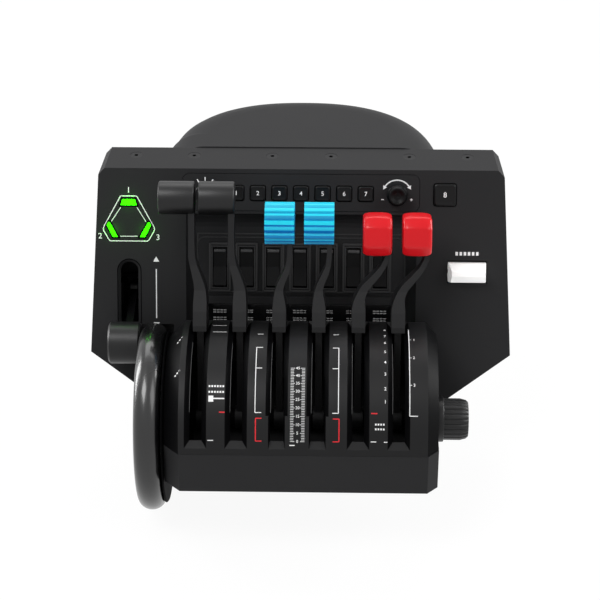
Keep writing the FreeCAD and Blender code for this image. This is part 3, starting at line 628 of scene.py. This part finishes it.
@dataclass
class Print:
    """Flat marks, printed or painted as shade or highlight, laid out in millimetres and then placed
    on a surface.
    """

    bench: Bench
    place: Callable[[float, float, float], Vector]
    film_mm: float = 0.05
    lift_mm: float = 0.03
    parts: list[Item] = field(default_factory=list)

    def bar(self, x0: float, x1: float, y0: float, y1: float, steps: int = 1) -> Item:
        """Lays a straight bar between two corners.

        Args:
            x0: left side.
            x1: right side.
            y0: lower side.
            y1: upper side.
            steps: how many pieces it is cut into up the sheet, to follow a curve.

        Returns:
            The bar.
        """
        fresh()
        bpy.ops.mesh.primitive_grid_add(x_subdivisions=1, y_subdivisions=steps, size=1.0,
                                        location=((x0 + x1) / 2, (y0 + y1) / 2, 0.0))
        item = bpy.context.active_object
        item.scale = (abs(x1 - x0), abs(y1 - y0), 1.0)
        self.parts.append(item)
        return item

    def line(self, start: Sequence[float], end: Sequence[float], width: float) -> Item:
        """Lays a straight line from one point to another.

        Args:
            start: one end.
            end: the other end.
            width: how wide the line is.

        Returns:
            The line.
        """
        run = Vector((end[0] - start[0], end[1] - start[1]))
        reach = (run.length + width) / 2
        item = self.bar(-reach, reach, -width / 2, width / 2)
        item.rotation_euler = (0.0, 0.0, atan2(run.y, run.x))
        item.location = ((start[0] + end[0]) / 2, (start[1] + end[1]) / 2, 0.0)
        return item

    def loop(self, points: Sequence[tuple[float, float]], width: float) -> None:
        """Lays a closed outline."""
        for near, far in zip(points, [*points[1:], points[0]]):
            self.line(near, far, width)

    def dashes(self, x: float, pitch: float, count: int, width: float, y: float, height: float,
               climb: float = 0.0) -> None:
        """Lays a row of dashes.

        Args:
            x: left side of the first dash.
            pitch: from one dash to the next.
            count: how many dashes there are.
            width: length of a dash.
            y: middle of the first dash.
            height: thickness of a dash.
            climb: how much higher each dash is than the last.
        """
        for k in range(count):
            left, middle = x + k * pitch, y + k * climb
            self.bar(left, left + width, middle - height / 2, middle + height / 2)

    def ladder(self, x0: float, x1: float, y0: float, pitch: float, count: int,
               height: float) -> None:
        """Lays a row of equal ticks up the sheet.

        Args:
            x0: left end of the ticks.
            x1: right end of the ticks.
            y0: middle of the lowest tick.
            pitch: from one tick to the next.
            count: how many ticks there are.
            height: thickness of a tick.
        """
        item = self.bar(x0, x1, y0 - height / 2, y0 + height / 2)
        row = item.modifiers.new("row", "ARRAY")
        row.count = count
        row.use_relative_offset = False
        row.use_constant_offset = True
        row.constant_offset_displace = (0.0, pitch / height, 0.0)

    def words(self, text: str, x: float, y: float, height: float) -> None:
        """Lays a number, centred on a point.

        Args:
            text: the number.
            x: its middle.
            y: its middle.
            height: height of a digit.
        """
        fresh()
        bpy.ops.object.text_add(location=(x, y, 0.0))
        item = bpy.context.active_object
        item.data.body = text
        item.data.size = height * 1.4
        item.data.align_x = "CENTER"
        item.data.align_y = "CENTER"
        item.data.offset = height * 0.012
        item.data.resolution_u = 3
        self.parts.append(item)

    def arc(self, x: float, y: float, radius: float, start_deg: float, end_deg: float,
            width: float) -> None:
        """Lays a curved bar round a point, from short straight ones.

        Args:
            x: centre of the curve.
            y: centre of the curve.
            radius: radius of its middle line.
            start_deg: angle of one end.
            end_deg: angle of the other end.
            width: how wide the line is.
        """
        count = max(3, int(abs(end_deg - start_deg) / 9))
        step = (end_deg - start_deg) / count
        ends = [around(x, y, radius, start_deg + step * k) for k in range(count + 1)]
        for near, far in zip(ends, ends[1:]):
            self.line(near, far, width)

    def spot(self, x: float, y: float, radius: float, corners: int, turn_deg: float) -> None:
        """Lays a filled shape with equal sides, such as a pointer with three corners."""
        turn = (0.0, 0.0, radians(turn_deg))
        self.parts.append(ring_of(corners, radius, "NGON", (x, y, 0.0), turn))

    def finish(self, name: str, finish: Finish, slot: str, body: str = "housing") -> None:
        """Thickens the marks to a thin film and puts them on their surface.

        Args:
            name: the piece's name.
            finish: its ink, or its painted shade or highlight.
            slot: the record's material slot that it stands for.
            body: the CAD body that it moves with.
        """
        sheet = self.bench.join(self.parts)
        with editing():
            bpy.ops.mesh.normals_make_consistent(inside=False)
        film = sheet.modifiers.new("film", "SOLIDIFY")
        film.thickness = self.film_mm
        film.offset = 0.0
        bpy.ops.object.convert(target="MESH")
        for vertex in sheet.data.vertices:
            x, y, z = vertex.co
            vertex.co = self.place(x, y, self.lift_mm + self.film_mm / 2 + z)
        self.bench.close(sheet, name, finish, body, slot)


# ---------- drum marks
@dataclass
class DrumMarks:
    """Scales and stops printed on the lands between the lever slots, and a painted highlight along
    each slot.
    """

    bench: Bench
    scale_top: int = 45
    scale_low_deg: float = 21.7
    scale_high_deg: float = 64.7

    def at(self, angle: float) -> float:
        """Turns an angle on the drum to a length along its surface."""
        return radians(angle) * DRUM_R

    def arc_line(self, sheet: Print, x: float, low: float, high: float,
                 width: float = STROKE) -> None:
        """Lays a line round the drum at one x."""
        cuts = max(2, int((high - low) / 3))
        sheet.bar(x - width / 2, x + width / 2, self.at(low), self.at(high), cuts)

    def tick(self, sheet: Print, x0: float, x1: float, angle: float,
             height: float = STROKE) -> None:
        """Lays a tick across the drum."""
        sheet.bar(x0, x1, self.at(angle) - height / 2, self.at(angle) + height / 2)

    def white(self) -> None:
        """Lays the white marks of all the lands."""
        sheet = Print(self.bench, on_drum)
        # first land: rows of dashes, stop block and bar
        for row in (53.0, 49.6):
            sheet.dashes(-67.6, 2.1, 6, 1.3, self.at(row), 1.5)
        sheet.bar(-67.6, -63.8, self.at(43.9), self.at(47.4), 3)
        self.tick(sheet, -63.8, -55.4, 45.8, 1.0)
        self.tick(sheet, -68.0, -63.7, 21.9)
        self.tick(sheet, -67.8, -56.8, 103.8, 0.5)
        self.tick(sheet, -67.0, -56.1, 94.5, 0.5)
        # second and fourth lands: brackets with three arms
        for x, inner in ((-32.0, -27.2), (31.4, 26.8)):
            left, right = sorted((x, inner))
            self.arc_line(sheet, x, 38.0, 79.8)
            for angle in (38.0, 64.6, 79.7):
                self.tick(sheet, left, right, angle)
            self.tick(sheet, left + 0.2, right - 0.2, 92.4)
        # middle land: ladder scale from 0 to 45
        pitch = self.at(self.scale_high_deg - self.scale_low_deg) / self.scale_top
        low = self.at(self.scale_low_deg)
        for x0, x1 in ((-5.2, -2.7), (3.3, 5.8)):
            sheet.ladder(x0, x1, low, pitch, self.scale_top + 1, 0.36)
        for value in range(0, self.scale_top + 1, 5):
            y = low + pitch * value
            sheet.words(str(value), 0.3, y, 2.3)
            sheet.bar(-2.7, -1.9, y - 0.2, y + 0.2)
            sheet.bar(2.5, 3.3, y - 0.2, y + 0.2)
        self.tick(sheet, -5.6, -1.6, 19.45, 0.8)
        # fifth land: a column of numbers and two dashes
        for k, angle in enumerate((98.4, 91.1, 84.6, 76.9, 69.2, 61.3, 52.3, 44.7)):
            sheet.words(str(8 - k), 67.0, self.at(angle), 2.6)
        for row in (31.9, 29.2):
            sheet.dashes(59.3, 2.0, 4, 1.2, self.at(row), 1.4)
        self.tick(sheet, 56.1, 60.3, 22.0)
        self.tick(sheet, 66.1, 68.8, 21.8)
        # two short signs on the left end
        for angle in (86.0, 60.1):
            sheet.dashes(-94.4, 1.6, 3, 1.1, self.at(angle), 1.3, self.at(1.2))
        # right strip: a long line with numbers
        self.arc_line(sheet, 85.6, 36.6, 99.5)
        self.tick(sheet, 85.6, 91.8, 36.8)
        for text, x, angle in (("1", 89.5, 87.7), ("2", 89.0, 72.6), ("3", 89.1, 54.6)):
            sheet.words(text, x, self.at(angle), 2.4)
            self.tick(sheet, 85.9, 87.3, angle, 0.5)
        sheet.finish("drum_scale_marks", Finish.INK, "paddle_white")

    def edges(self) -> None:
        """Lays a bright line along the inner lip of each lever slot: a painted highlight."""
        sheet = Print(self.bench, on_drum, lift_mm=-4.55)
        for slot_at in range(LEVERS):
            self.arc_line(sheet, -82.25 + slot_at * LEVER_PITCH, 38.0, 88.0, 0.45)
        sheet.finish("slot_lip_highlights", Finish.RIDGE, "body_plastic")

    def red(self) -> None:
        """Lays the red marks that show the shut-off range."""
        sheet = Print(self.bench, on_drum)
        self.tick(sheet, -59.3, -55.0, 38.0, 0.9)
        self.tick(sheet, 56.2, 61.0, 38.1, 0.9)
        for x, inner in ((-31.5, -26.9), (32.0, 27.2)):
            self.arc_line(sheet, x, 21.8, 34.8, 0.8)
            for angle in (21.8, 34.8):
                self.tick(sheet, *sorted((x, inner)), angle, 0.8)
        sheet.finish("drum_range_marks", Finish.INK_RED, "handle_red")

    def build(self) -> None:
        """Prints the drum and lays the painted highlights along its slots."""
        self.white()
        self.red()
        self.edges()


# ---------- panel marks
@dataclass
class PanelMarks:
    """Lines, signs and numbers printed on the panel, and dark sheets of painted shade at the lamps
    and the gear lever's slot.
    """

    bench: Bench
    lamp_up: float = 138.3
    stroke: float = 0.75

    def lamps(self, sheet: Print) -> None:
        """Lays the outline round the three lamps, the inner lines and a number at each lamp.

        Args:
            sheet: the sheet that takes the marks.
        """
        half = [(5.6, 20.1), (6.7, 19.7), (20.2, -4.9), (20.7, -6.6), (20.2, -8.4), (16.2, -15.3),
                (15.0, -16.4)]
        outline = half + [(-x, y) for x, y in reversed(half)]
        sheet.loop([(LAMP_X + x, self.lamp_up + y) for x, y in outline], self.stroke)
        for near, far in (((-6.6, 10.6), (-13.8, -0.2)), ((6.8, 10.7), (13.6, -0.4)),
                          ((-6.6, -12.6), (6.6, -12.5))):
            sheet.line((LAMP_X + near[0], self.lamp_up + near[1]),
                       (LAMP_X + far[0], self.lamp_up + far[1]), self.stroke * 0.8)
        for text, x, up in (("1", 0.0, 24.8), ("2", -23.2, -12.6), ("3", 23.4, -13.4)):
            sheet.words(text, LAMP_X + x, self.lamp_up + up, 4.6)

    def lamp_borders(self, sheet: Print) -> None:
        """Lays a dark border of painted shade round each of the three lamps.

        Args:
            sheet: the sheet that takes the marks.
        """
        top = [(-5.5, 18.1), (5.5, 18.1), (7.3, 12.1), (-7.3, 12.1)]
        side = [(18.5, -3.5), (16.9, -0.5), (15.2, -0.5), (7.9, -13.7), (13.2, -13.7)]
        for shape in (top, side, [(-x, y) for x, y in side]):
            sheet.loop([(LAMP_X + x, self.lamp_up + y) for x, y in shape], 1.1)

    def slot_lip(self, sheet: Print) -> None:
        """Lays a dark ring of painted shade along the rounded edge of the gear lever's slot.

        Args:
            sheet: the sheet that takes the marks.
        """
        low, high, radius, width = 57.8, 97.6, 9.5, 0.8
        sheet.arc(LAMP_X, high, radius, 0.0, 180.0, width)
        sheet.arc(LAMP_X, low, radius, 180.0, 360.0, width)
        for side in (-radius, radius):
            sheet.bar(LAMP_X + side - width / 2, LAMP_X + side + width / 2, low, high)

    def scales(self, sheet: Print) -> None:
        """Lays the line beside the gear lever, with its pointers, and the dashes by the paddle.

        Args:
            sheet: the sheet that takes the marks.
        """
        sheet.bar(-116.9, -116.1, 58.9, 99.2)
        sheet.spot(-116.5, 106.6, 2.8, 3, 0.0)
        sheet.spot(-116.5, 54.0, 2.8, 3, 180.0)
        sheet.dashes(124.4, 3.3, 6, 2.0, 113.75, 2.9)

    def knobs(self, sheet: Print) -> None:
        """Lays turning arrows and signs round the right knob, and five dashes round the left.

        Args:
            sheet: the sheet that takes the marks.
        """
        x, up, radius = KNOB_X, KNOB_UP, 11.6
        sheet.arc(x, up, radius, 38.0, 142.0, 1.0)
        for angle, turn in ((30.0, -150.0), (150.0, 150.0)):
            sheet.spot(*around(x, up, radius, angle), 2.0, 3, turn)
        sheet.bar(x - 12.6, x - 10.4, up - 4.4, up - 3.8)
        sheet.bar(x + 10.4, x + 12.6, up - 4.4, up - 3.8)
        sheet.bar(x + 11.2, x + 11.8, up - 5.2, up - 3.0)
        for angle in (150, 120, 90, 60, 30):
            near, far = (around(-x, up, reach, angle) for reach in (10.2, 12.4))
            sheet.line(near, far, 0.8)

    def window(self, sheet: Print) -> None:
        """Lays small dashes behind the smoked window, two double rows in each of its fields.

        Args:
            sheet: the sheet that takes the marks.
        """
        for k in range(ROCKERS):
            for up in (64.4, 62.6, 58.2, 56.4):
                sheet.dashes(ROCKER_X + k * ROCKER_PITCH - 5.4, 2.8, 4, 2.2, up, 0.9)

    def build(self) -> None:
        """Prints the panel and lays its sheets of painted shade."""
        for lay, name, lift, finish, slot in (
                (self.scales, "panel_marks", 0.03, Finish.INK, "paddle_white"),
                # painted shade: the lip of the slot and the borders of the lamps are dark sheets,
                # not print
                (self.slot_lip, "slot_lip", 0.03, Finish.RECESS, "body_plastic"),
                (self.lamp_borders, "lamp_borders", 0.72, Finish.RECESS, "body_plastic"),
                (self.lamps, "lamp_outline_marks", 0.33, Finish.INK, "paddle_white"),
                (self.knobs, "strip_marks", 0.53, Finish.INK, "paddle_white"),
                (self.window, "window_marks", -9.57, Finish.INK_FAINT, "paddle_white")):
            sheet = Print(self.bench, on_panel, lift_mm=lift)
            lay(sheet)
            sheet.finish(name, finish, slot)


@dataclass
class KeyCaps:
    """Square key caps with eased corners, sloped edges, a shallow dish and a number."""

    bench: Bench
    pitch: float = 17.27
    up: float = 161.4
    side: float = 12.2
    master: tuple[float, float, float] = (115.2, 161.1, 17.8)      # x, up and side
    base: float = -3.2
    shoulder: float = 1.1
    number_at: float = 1.64

    def cap(self, number: int, x: float, up: float, side: float, node: str) -> None:
        """Makes one cap: a block whose top is inset, raised and dished.

        Args:
            number: the key's number.
            x: millimetres to the right of the middle.
            up: millimetres up the panel.
            side: width and height of the cap.
            node: the CAD node that it stands for.
        """
        fresh()
        bpy.ops.mesh.primitive_plane_add(size=side)
        item = bpy.context.active_object
        with editing():
            bpy.ops.mesh.bevel(offset=2.0, segments=5, affect="VERTICES")
            bpy.ops.transform.translate(value=(0.0, 0.0, self.base))
            extrude(0.0, 0.0, self.shoulder - self.base)
            extrude(0.0, 0.0, 0.8)
            bpy.ops.transform.resize(value=(0.86, 0.86, 1.0))
            bpy.ops.mesh.inset(thickness=0.8, depth=-0.18)
            extrude(0.0, 0.0, -0.1)
            bpy.ops.transform.resize(value=(0.8, 0.8, 1.0))
        sized(item, MM, MM, MM)
        lean(item, x, up)
        bevelled(item, 0.25, 2)
        name = "key_cap_%d" % number
        piece = self.bench.close(item, name, Finish.KEY, node + "_body", "key_plastic", 30.0)
        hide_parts(node)

    def build(self) -> None:
        """Makes the seven small caps and the large one, and prints a plain number on each."""
        keys = [(k + 1, (k - 3) * self.pitch, self.up, self.side, 3.5, "key_%d" % (k + 1))
                for k in range(ROCKERS)]
        keys.append((8, *self.master, 4.2, "key_master"))
        for number, x, up, side, _, node in keys:
            self.cap(number, x, up, side, node)
        for number, x, up, _, height, node in keys:
            sheet = Print(self.bench, on_panel, lift_mm=self.number_at)
            sheet.words(str(number), x, up, height)
            sheet.finish("key_number_%d" % number, Finish.INK, "paddle_white", node + "_body")


# ---------- handles and wheel
@dataclass
class Handles:
    """The six lever handles: two smooth rollers, two ribbed ones and two crowned blocks."""

    bench: Bench
    black_radius: float = 13.5
    black_reach: float = 177.5
    blue_radius: float = 16.6
    blue_reach: float = 158.0
    rib_count: int = 18
    rib_depth: float = 1.1
    deep_rib_depth: float = 2.0
    rib_twist: float = radians(3.5)
    red_reach: float = 149.5
    red_width: float = 23.7
    red_side: float = 0.9                      # the ends' outline against the full one

    def at_rest(self, item: Item, x: float, reach: float, twist: float = 0.0) -> None:
        """Turns an upright handle to the lever's direction at rest and puts it at its reach.

        Args:
            item: the handle.
            x: millimetres to the right of the middle.
            reach: millimetres from the shaft along the lever.
            twist: its turn against the lever's direction, in radians.
        """
        bpy.ops.object.transform_apply(location=False, rotation=True, scale=True)
        item.rotation_euler = (pi / 2 - REST + twist, 0.0, 0.0)
        item.location = on_lever(x, 0.0, reach)

    def fit(self, item: Item, number: int, kind: str, finish: Finish, slot: str,
            smooth_deg: float) -> None:
        """Closes a handle and puts it in the place of its CAD node.

        Args:
            item: the handle.
            number: its lever's number.
            kind: what it is, for its name.
            finish: its finish.
            slot: its colour in the name of its material slot.
            smooth_deg: edges flatter than this are shaded smooth.
        """
        piece = self.bench.close(item, "%s_handle_%d" % (kind, number), finish, "lever_%d" % number,
                                 "handle_" + slot, smooth_deg)
        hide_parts("handle_%d" % number)

    def roller(self, number: int, left: float, right: float) -> None:
        """Makes a smooth black roller with eased ends.

        Args:
            number: its lever's number.
            left: its left end, in millimetres from the middle.
            right: its right end.
        """
        fresh()
        width = right - left
        bpy.ops.mesh.primitive_cylinder_add(vertices=96, radius=self.black_radius * MM,
                                            depth=width * MM, rotation=ALONG_X)
        item = bpy.context.active_object
        with editing("DESELECT"):
            bpy.ops.mesh.select_face_by_sides(number=4, type="GREATER")
            bpy.ops.mesh.inset(thickness=3.2 * MM, depth=0.0)
            bpy.ops.mesh.inset(thickness=0.5 * MM, depth=-0.5 * MM)
        self.at_rest(item, (left + right) / 2, self.black_reach)
        bevelled(item, 1.3, 4)
        self.fit(item, number, "roller", Finish.KNOB, "black", 35.0)

    def ribbed(self, number: int, left: float, right: float) -> None:
        """Makes a blue roller with flat-topped ribs along it, every second furrow a deep one.

        Args:
            number: its lever's number.
            left: its left end, in millimetres from the middle.
            right: its right end.
        """
        width = (right - left) * MM
        item = ring_of(self.rib_count * 4, self.blue_radius * MM, "NGON", (-width / 2, 0.0, 0.0),
                       ALONG_X)
        for k, vertex in enumerate(item.data.vertices):
            deep = (k // 4) % 2 == 1
            if k % 4 == 3:
                depth = self.deep_rib_depth if deep else self.rib_depth
                vertex.co *= 1.0 - depth / self.blue_radius
            elif k % 4 == 2 and deep:
                vertex.co *= 1.0 - 0.7 * self.deep_rib_depth / self.blue_radius
        bpy.ops.object.transform_apply(location=True, rotation=True, scale=True)
        with editing():
            extrude(width, 0.0, 0.0)
        self.at_rest(item, (left + right) / 2, self.blue_reach, self.rib_twist)
        self.fit(item, number, "ribbed", Finish.BLUE, "blue", 20.0)

    def crowned(self, number: int, left: float, right: float) -> None:
        """Makes a red block, crowned from side to side, by extruding its side outline.

        Args:
            number: its lever's number.
            left: its left end, in millimetres from the middle.
            right: its right end.
        """
        outline = [(-11.5, -14.9), (-16.4, -7.0), (-16.9, 8.6), (-10.5, 16.2), (9.5, 16.2),
                   (14.8, 8.6), (15.2, -4.6), (9.5, -14.9)]
        width = right - left
        item = ring_of(len(outline), 1.0)
        for vertex, (y, z) in zip(item.data.vertices, outline):
            vertex.co = Vector((-width / 2, y * self.red_side, z * self.red_side)) * MM
        steps = ((3.0, 1.085), (5.2, 1.022), (7.3, 1.0), (5.2, 0.978), (3.0, 0.92))
        with editing():
            for run, grow in steps:
                extrude(run * width / self.red_width * MM, 0.0, 0.0)
                bpy.ops.transform.resize(value=(1.0, grow, grow), center_override=(0.0, 0.0, 0.0))
        self.at_rest(item, (left + right) / 2, self.red_reach)
        bevelled(item, 2.2, 5, 9.0)
        self.fit(item, number, "crowned", Finish.RED, "red", 60.0)

    def build(self) -> None:
        """Makes the six handles."""
        self.roller(1, -110.3, -81.3)
        self.roller(2, -79.2, -50.2)
        self.ribbed(3, -27.0, -3.9)
        self.ribbed(4, 3.7, 26.9)
        self.crowned(5, 49.3, 71.9)
        self.crowned(6, 80.1, 102.7)


@dataclass
class TrimWheel:
    """Smooth polished rim of the trim wheel, spun from its rounded section."""

    bench: Bench
    radius: float = 74.3
    left: float = -126.0
    right: float = -105.5
    inner: float = 55.0
    shoulder: float = 58.5
    round_r: float = 9.0

    def build(self) -> None:
        """Spins the rim."""
        middle, half = (self.left + self.right) / 2, (self.right - self.left) / 2
        section = []
        for k in range(25):
            turn = radians(-90 + 180 * k / 24)
            section.append((middle + half * sin(turn),
                            self.radius - self.round_r + self.round_r * cos(turn)))
        foot = [(half, self.shoulder), (half - 3.5, self.inner), (1.6, self.inner)]
        section += [(middle + x, r) for x, r in foot] + [(middle - x, r) for x, r in foot[::-1]]
        item = ring_of(len(section), 1.0, "NOTHING")
        for vertex, (x, r) in zip(item.data.vertices, section):
            vertex.co = SHAFT + Vector((x, 0.0, r)) * MM
        with editing():
            bpy.ops.mesh.spin(steps=144, angle=tau, center=SHAFT, axis=(1.0, 0.0, 0.0))
            bpy.ops.mesh.select_all(action="SELECT")
            bpy.ops.mesh.remove_doubles(threshold=0.00001)
        piece = self.bench.close(item, "trim_wheel_tyre", Finish.GLOSS_BLACK, "trim_wheel",
                                 "wheel_gloss")
        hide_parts("trim_wheel_rim")


@dataclass
class FrictionKnob:
    """Ribbed knob at the right end of the lever shaft."""

    bench: Bench
    flange: float = 18.2
    radius: float = 16.6
    ribs: int = 24

    def build(self) -> None:
        """Makes the flange and the ribbed grip, and joins them."""
        fresh()
        bpy.ops.mesh.primitive_cylinder_add(vertices=96, radius=self.flange * MM, depth=6.0 * MM,
                                            rotation=ALONG_X,
                                            location=SHAFT + Vector((112.0, 0.0, 0.0)) * MM)
        flange = bpy.context.active_object
        bevelled(flange, 0.8)
        grip = ring_of(self.ribs * 4, self.radius * MM, "NGON",
                       SHAFT + Vector((114.8, 0.0, 0.0)) * MM, ALONG_X)
        for k, vertex in enumerate(grip.data.vertices):
            if k % 4 == 3:
                vertex.co *= 0.955
        bpy.ops.object.transform_apply(location=True, rotation=True, scale=True)
        with editing():
            for run, grow in ((13.4, 1.0), (4.6, 0.93), (1.8, 0.895)):
                extrude(run * MM, 0.0, 0.0)
                bpy.ops.transform.resize(value=(1.0, grow, grow), center_override=SHAFT)
        knob = self.bench.join([flange, grip])
        piece = self.bench.close(knob, "friction_grip", Finish.KNOB, "friction_knob_body",
                                 "knob_plastic")
        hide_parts("friction_knob")


@dataclass
class RockerRidges:
    """A raised finger ridge near the top of each rocker, modelled once and copied."""

    bench: Bench
    size: tuple[float, float, float] = (9.6, 2.6, 1.4)
    above: float = 13.6                        # up from the rocker's centre
    out: float = -9.0

    def build(self) -> None:
        """Makes the ridges."""
        fresh()
        bpy.ops.mesh.primitive_cube_add(size=1.0)
        first = bpy.context.active_object
        sized(first, *(length * MM for length in self.size))
        bevelled(first, 0.5)
        bpy.ops.object.convert(target="MESH")
        for k, item in enumerate(at_rockers(first, self.above, self.out), 1):
            # the ridges take the lighter finish, a painted highlight
            self.bench.close(item, "rocker_ridge_%d" % k, Finish.RIDGE, "rocker_%d_body" % k,
                             "key_plastic")


@dataclass
class RockerFrames:
    """Nested raised frames round the rockers and the edge of the plate that they stand on."""

    bench: Bench
    depth: float = 10.0
    plate_half: float = 84.3
    plate_low: float = 79.0
    plate_high: float = 124.6

    def ring(self, wide: float, high: float, band: float, rise: float, corner: float) -> Item:
        """Makes a flat frame with rounded corners, lying on its back.

        Args:
            wide: outer width in millimetres.
            high: outer height.
            band: width of the frame's own material.
            rise: how thick it is.
            corner: radius of its outer corners.

        Returns:
            The frame, on its underside.
        """
        fresh()
        bpy.ops.mesh.primitive_plane_add(size=1.0)
        item = bpy.context.active_object
        sized(item, wide * MM, high * MM, 1.0)
        with editing():
            bpy.ops.mesh.bevel(offset=corner * MM, segments=5, affect="VERTICES")
            bpy.ops.mesh.inset(thickness=band * MM, depth=0.0)
            bpy.ops.mesh.delete(type="FACE")
        body = item.modifiers.new("body", "SOLIDIFY")
        body.thickness = rise * MM
        body.offset = 1.0
        bevelled(item, min(band, rise) * 0.35, 3)
        bpy.ops.object.convert(target="MESH")
        return item

    def build(self) -> None:
        """Makes the frames of the seven rockers and the edge of their plate."""
        outer = self.ring(17.9, 40.4, 1.7, 1.3, 1.6)
        inner = self.ring(14.0, 35.4, 1.1, 0.35, 0.8)
        inner.location = (0.0, 0.0, 0.85 * MM)
        pair = self.bench.join([outer, inner])
        for k, item in enumerate(at_rockers(pair, 0.0, 0.05 - self.depth), 1):
            self.bench.close(item, "rocker_frame_%d" % k, Finish.FRAME, "housing", "body_plastic")
        for name, high, corner in (("rocker_plate_edge", self.plate_high, 6.0),
                                   ("rocker_plate_rim", self.plate_high + 2.9, 0.8)):
            edge = self.ring(2 * self.plate_half, high - self.plate_low, 0.9, 0.6, corner)
            lean(edge, 0.3, (high + self.plate_low) / 2, 0.02 - self.depth)
            self.bench.close(edge, name, Finish.FRAME, "housing", "body_plastic")


# ---------- stage
@dataclass
class Stage:
    """Floor, soft lights, white surround and the camera."""

    lens_mm: float = 117.0
    eye: Vector = field(default_factory=lambda: Vector((0.0300, -1.3803, 0.9239)))
    down_deg: float = 32.0
    yaw_deg: float = 1.3
    roll_rad: float = -0.003
    floor_drop: float = 0.004
    floor_glow: float = 0.93
    ambient: float = 0.34
    spill_watts: float = 0.0052

    def put(self, data: Any, place: Matrix) -> Item:
        """Adds a camera or a light to the scene at its place.

        Args:
            data: the camera's or light's settings.
            place: where it stands and how it is turned.

        Returns:
            The new object.
        """
        item = bpy.data.objects.new(data.name, data)
        bpy.context.collection.objects.link(item)
        item.matrix_world = place
        return item

    def spill(self) -> None:
        """Adds the faint green light that the three lamps throw on the panel round them."""
        lamps = (LAMP_X, 153.4), (LAMP_X - 13.6, 130.6), (LAMP_X + 13.6, 130.6)
        for k, (x, up) in enumerate(lamps):
            data = bpy.data.lights.new("lamp_spill_%d" % (k + 1), "POINT")
            data.energy = self.spill_watts
            data.color = srgb("#46F500")[:3]
            data.shadow_soft_size = 0.003
            self.put(data, Matrix.Translation(on_panel(x, up, 4.0)))

    def camera(self) -> None:
        """Sets the camera at the viewing angle."""
        data = bpy.data.cameras.new("camera")
        data.lens = self.lens_mm
        data.clip_end = 20.0
        down, yaw = radians(self.down_deg), radians(self.yaw_deg)
        ahead = Vector((-sin(yaw) * cos(down), cos(yaw) * cos(down), -sin(down)))
        right = Vector((cos(yaw), sin(yaw), 0.0))
        up = right.cross(ahead)
        roll = Matrix.Rotation(self.roll_rad, 3, "Z")
        turn = Matrix((right, up, -ahead)).transposed() @ roll
        bpy.context.scene.camera = self.put(data, Matrix.Translation(self.eye) @ turn.to_4x4())

    def lamps(self) -> None:
        """Adds the rectangular soft lights, each aimed at a point of the part."""
        for name, place, aim, wide, high, watts in (
                ("key_softbox", (-0.8, -0.9, 1.9), (0.0, -0.1, 0.05), 0.9, 0.9, 24.0),
                ("fill_softbox", (1.3, -0.7, 1.3), (0.0, -0.1, 0.05), 1.0, 1.0, 10.0),
                ("rear_softbox", (0.0, 1.2, 1.8), (0.0, 0.0, 0.1), 2.0, 1.0, 18.0),
                ("left_strip", (-1.2, 0.35, 0.45), (0.0, 0.05, 0.14), 0.3, 0.9, 12.0),
                ("right_strip", (1.2, 0.35, 0.45), (0.0, 0.05, 0.14), 0.3, 0.9, 12.0)):
            data = bpy.data.lights.new(name, "AREA")
            data.shape = "RECTANGLE"
            data.size, data.size_y, data.energy = wide, high, watts
            turn = (Vector(aim) - Vector(place)).to_track_quat("-Z", "Y").to_matrix().to_4x4()
            self.put(data, Matrix.Translation(Vector(place)) @ turn)

    def seen(self, tree: bpy.types.NodeTree) -> bpy.types.NodeSocket:
        """Makes a value that is 1 for rays that show the surround itself, and 0 otherwise.

        Args:
            tree: the node tree that takes the nodes.

        Returns:
            The value's socket.
        """
        path = add_node(tree, "ShaderNodeLightPath")
        value = path.outputs["Is Camera Ray"]
        for ray in ("Is Transmission Ray", "Is Glossy Ray"):
            either = add_node(tree, "ShaderNodeMath", {"operation": "MAXIMUM"},
                              {"0": value, "1": path.outputs[ray]})
            value = either.outputs[0]
        return value

    def surround(self) -> None:
        """Makes the world white to the camera and in reflections, and a grey light otherwise."""
        world = bpy.data.worlds.new("studio")
        bpy.context.scene.world = world
        world.use_nodes = True
        tree = world.node_tree
        level = add_node(tree, "ShaderNodeMapRange", None,
                         {"Value": self.seen(tree), "To Min": self.ambient, "To Max": 1.0})
        fill(tree.nodes["Background"], {"Color": WHITE, "Strength": level.outputs["Result"]})

    def floor(self) -> None:
        """Lays the pale floor just below the lowest point of the part."""
        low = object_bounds()[0][2] - self.floor_drop
        bpy.ops.mesh.primitive_plane_add(size=8.0, location=(0.0, 0.0, low))
        plane = bpy.context.active_object
        plane.name = "floor"
        material, tree, shader = start_material("matt_white_sweep")
        fill(shader, {"Base Color": srgb("#F4F4F4"), "Roughness": 0.9})
        glow = add_node(tree, "ShaderNodeEmission", None, {"Color": WHITE})
        share = add_node(tree, "ShaderNodeMath", {"operation": "MULTIPLY"},
                         {"0": self.seen(tree), "1": self.floor_glow})
        mix = add_node(tree, "ShaderNodeMixShader", None,
                       {"0": share.outputs[0], "1": shader.outputs[0], "2": glow.outputs[0]})
        fill(tree.nodes["Material Output"], {"Surface": mix.outputs[0]})
        plane.data.materials.append(material)
        plane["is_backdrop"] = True

    def build(self) -> None:
        """Builds the whole stage."""
        bpy.context.scene.view_settings.view_transform = "Standard"
        self.surround()
        self.floor()
        self.lamps()
        self.spill()
        self.camera()
        LOG.info("stage ready")


def main() -> None:
    """Builds the looks in order."""
    logging.basicConfig(level=logging.INFO, format="%(name)s: %(message)s")
    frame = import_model()
    palette = Palette()
    CadDress(palette, frame["nodes"]).dress()
    bench = Bench(palette)
    for work in (DrumMarks, PanelMarks, KeyCaps, Handles, TrimWheel, FrictionKnob, RockerRidges,
                 RockerFrames):
        work(bench).build()
    Stage().build()


if __name__ == "__main__":
    main()
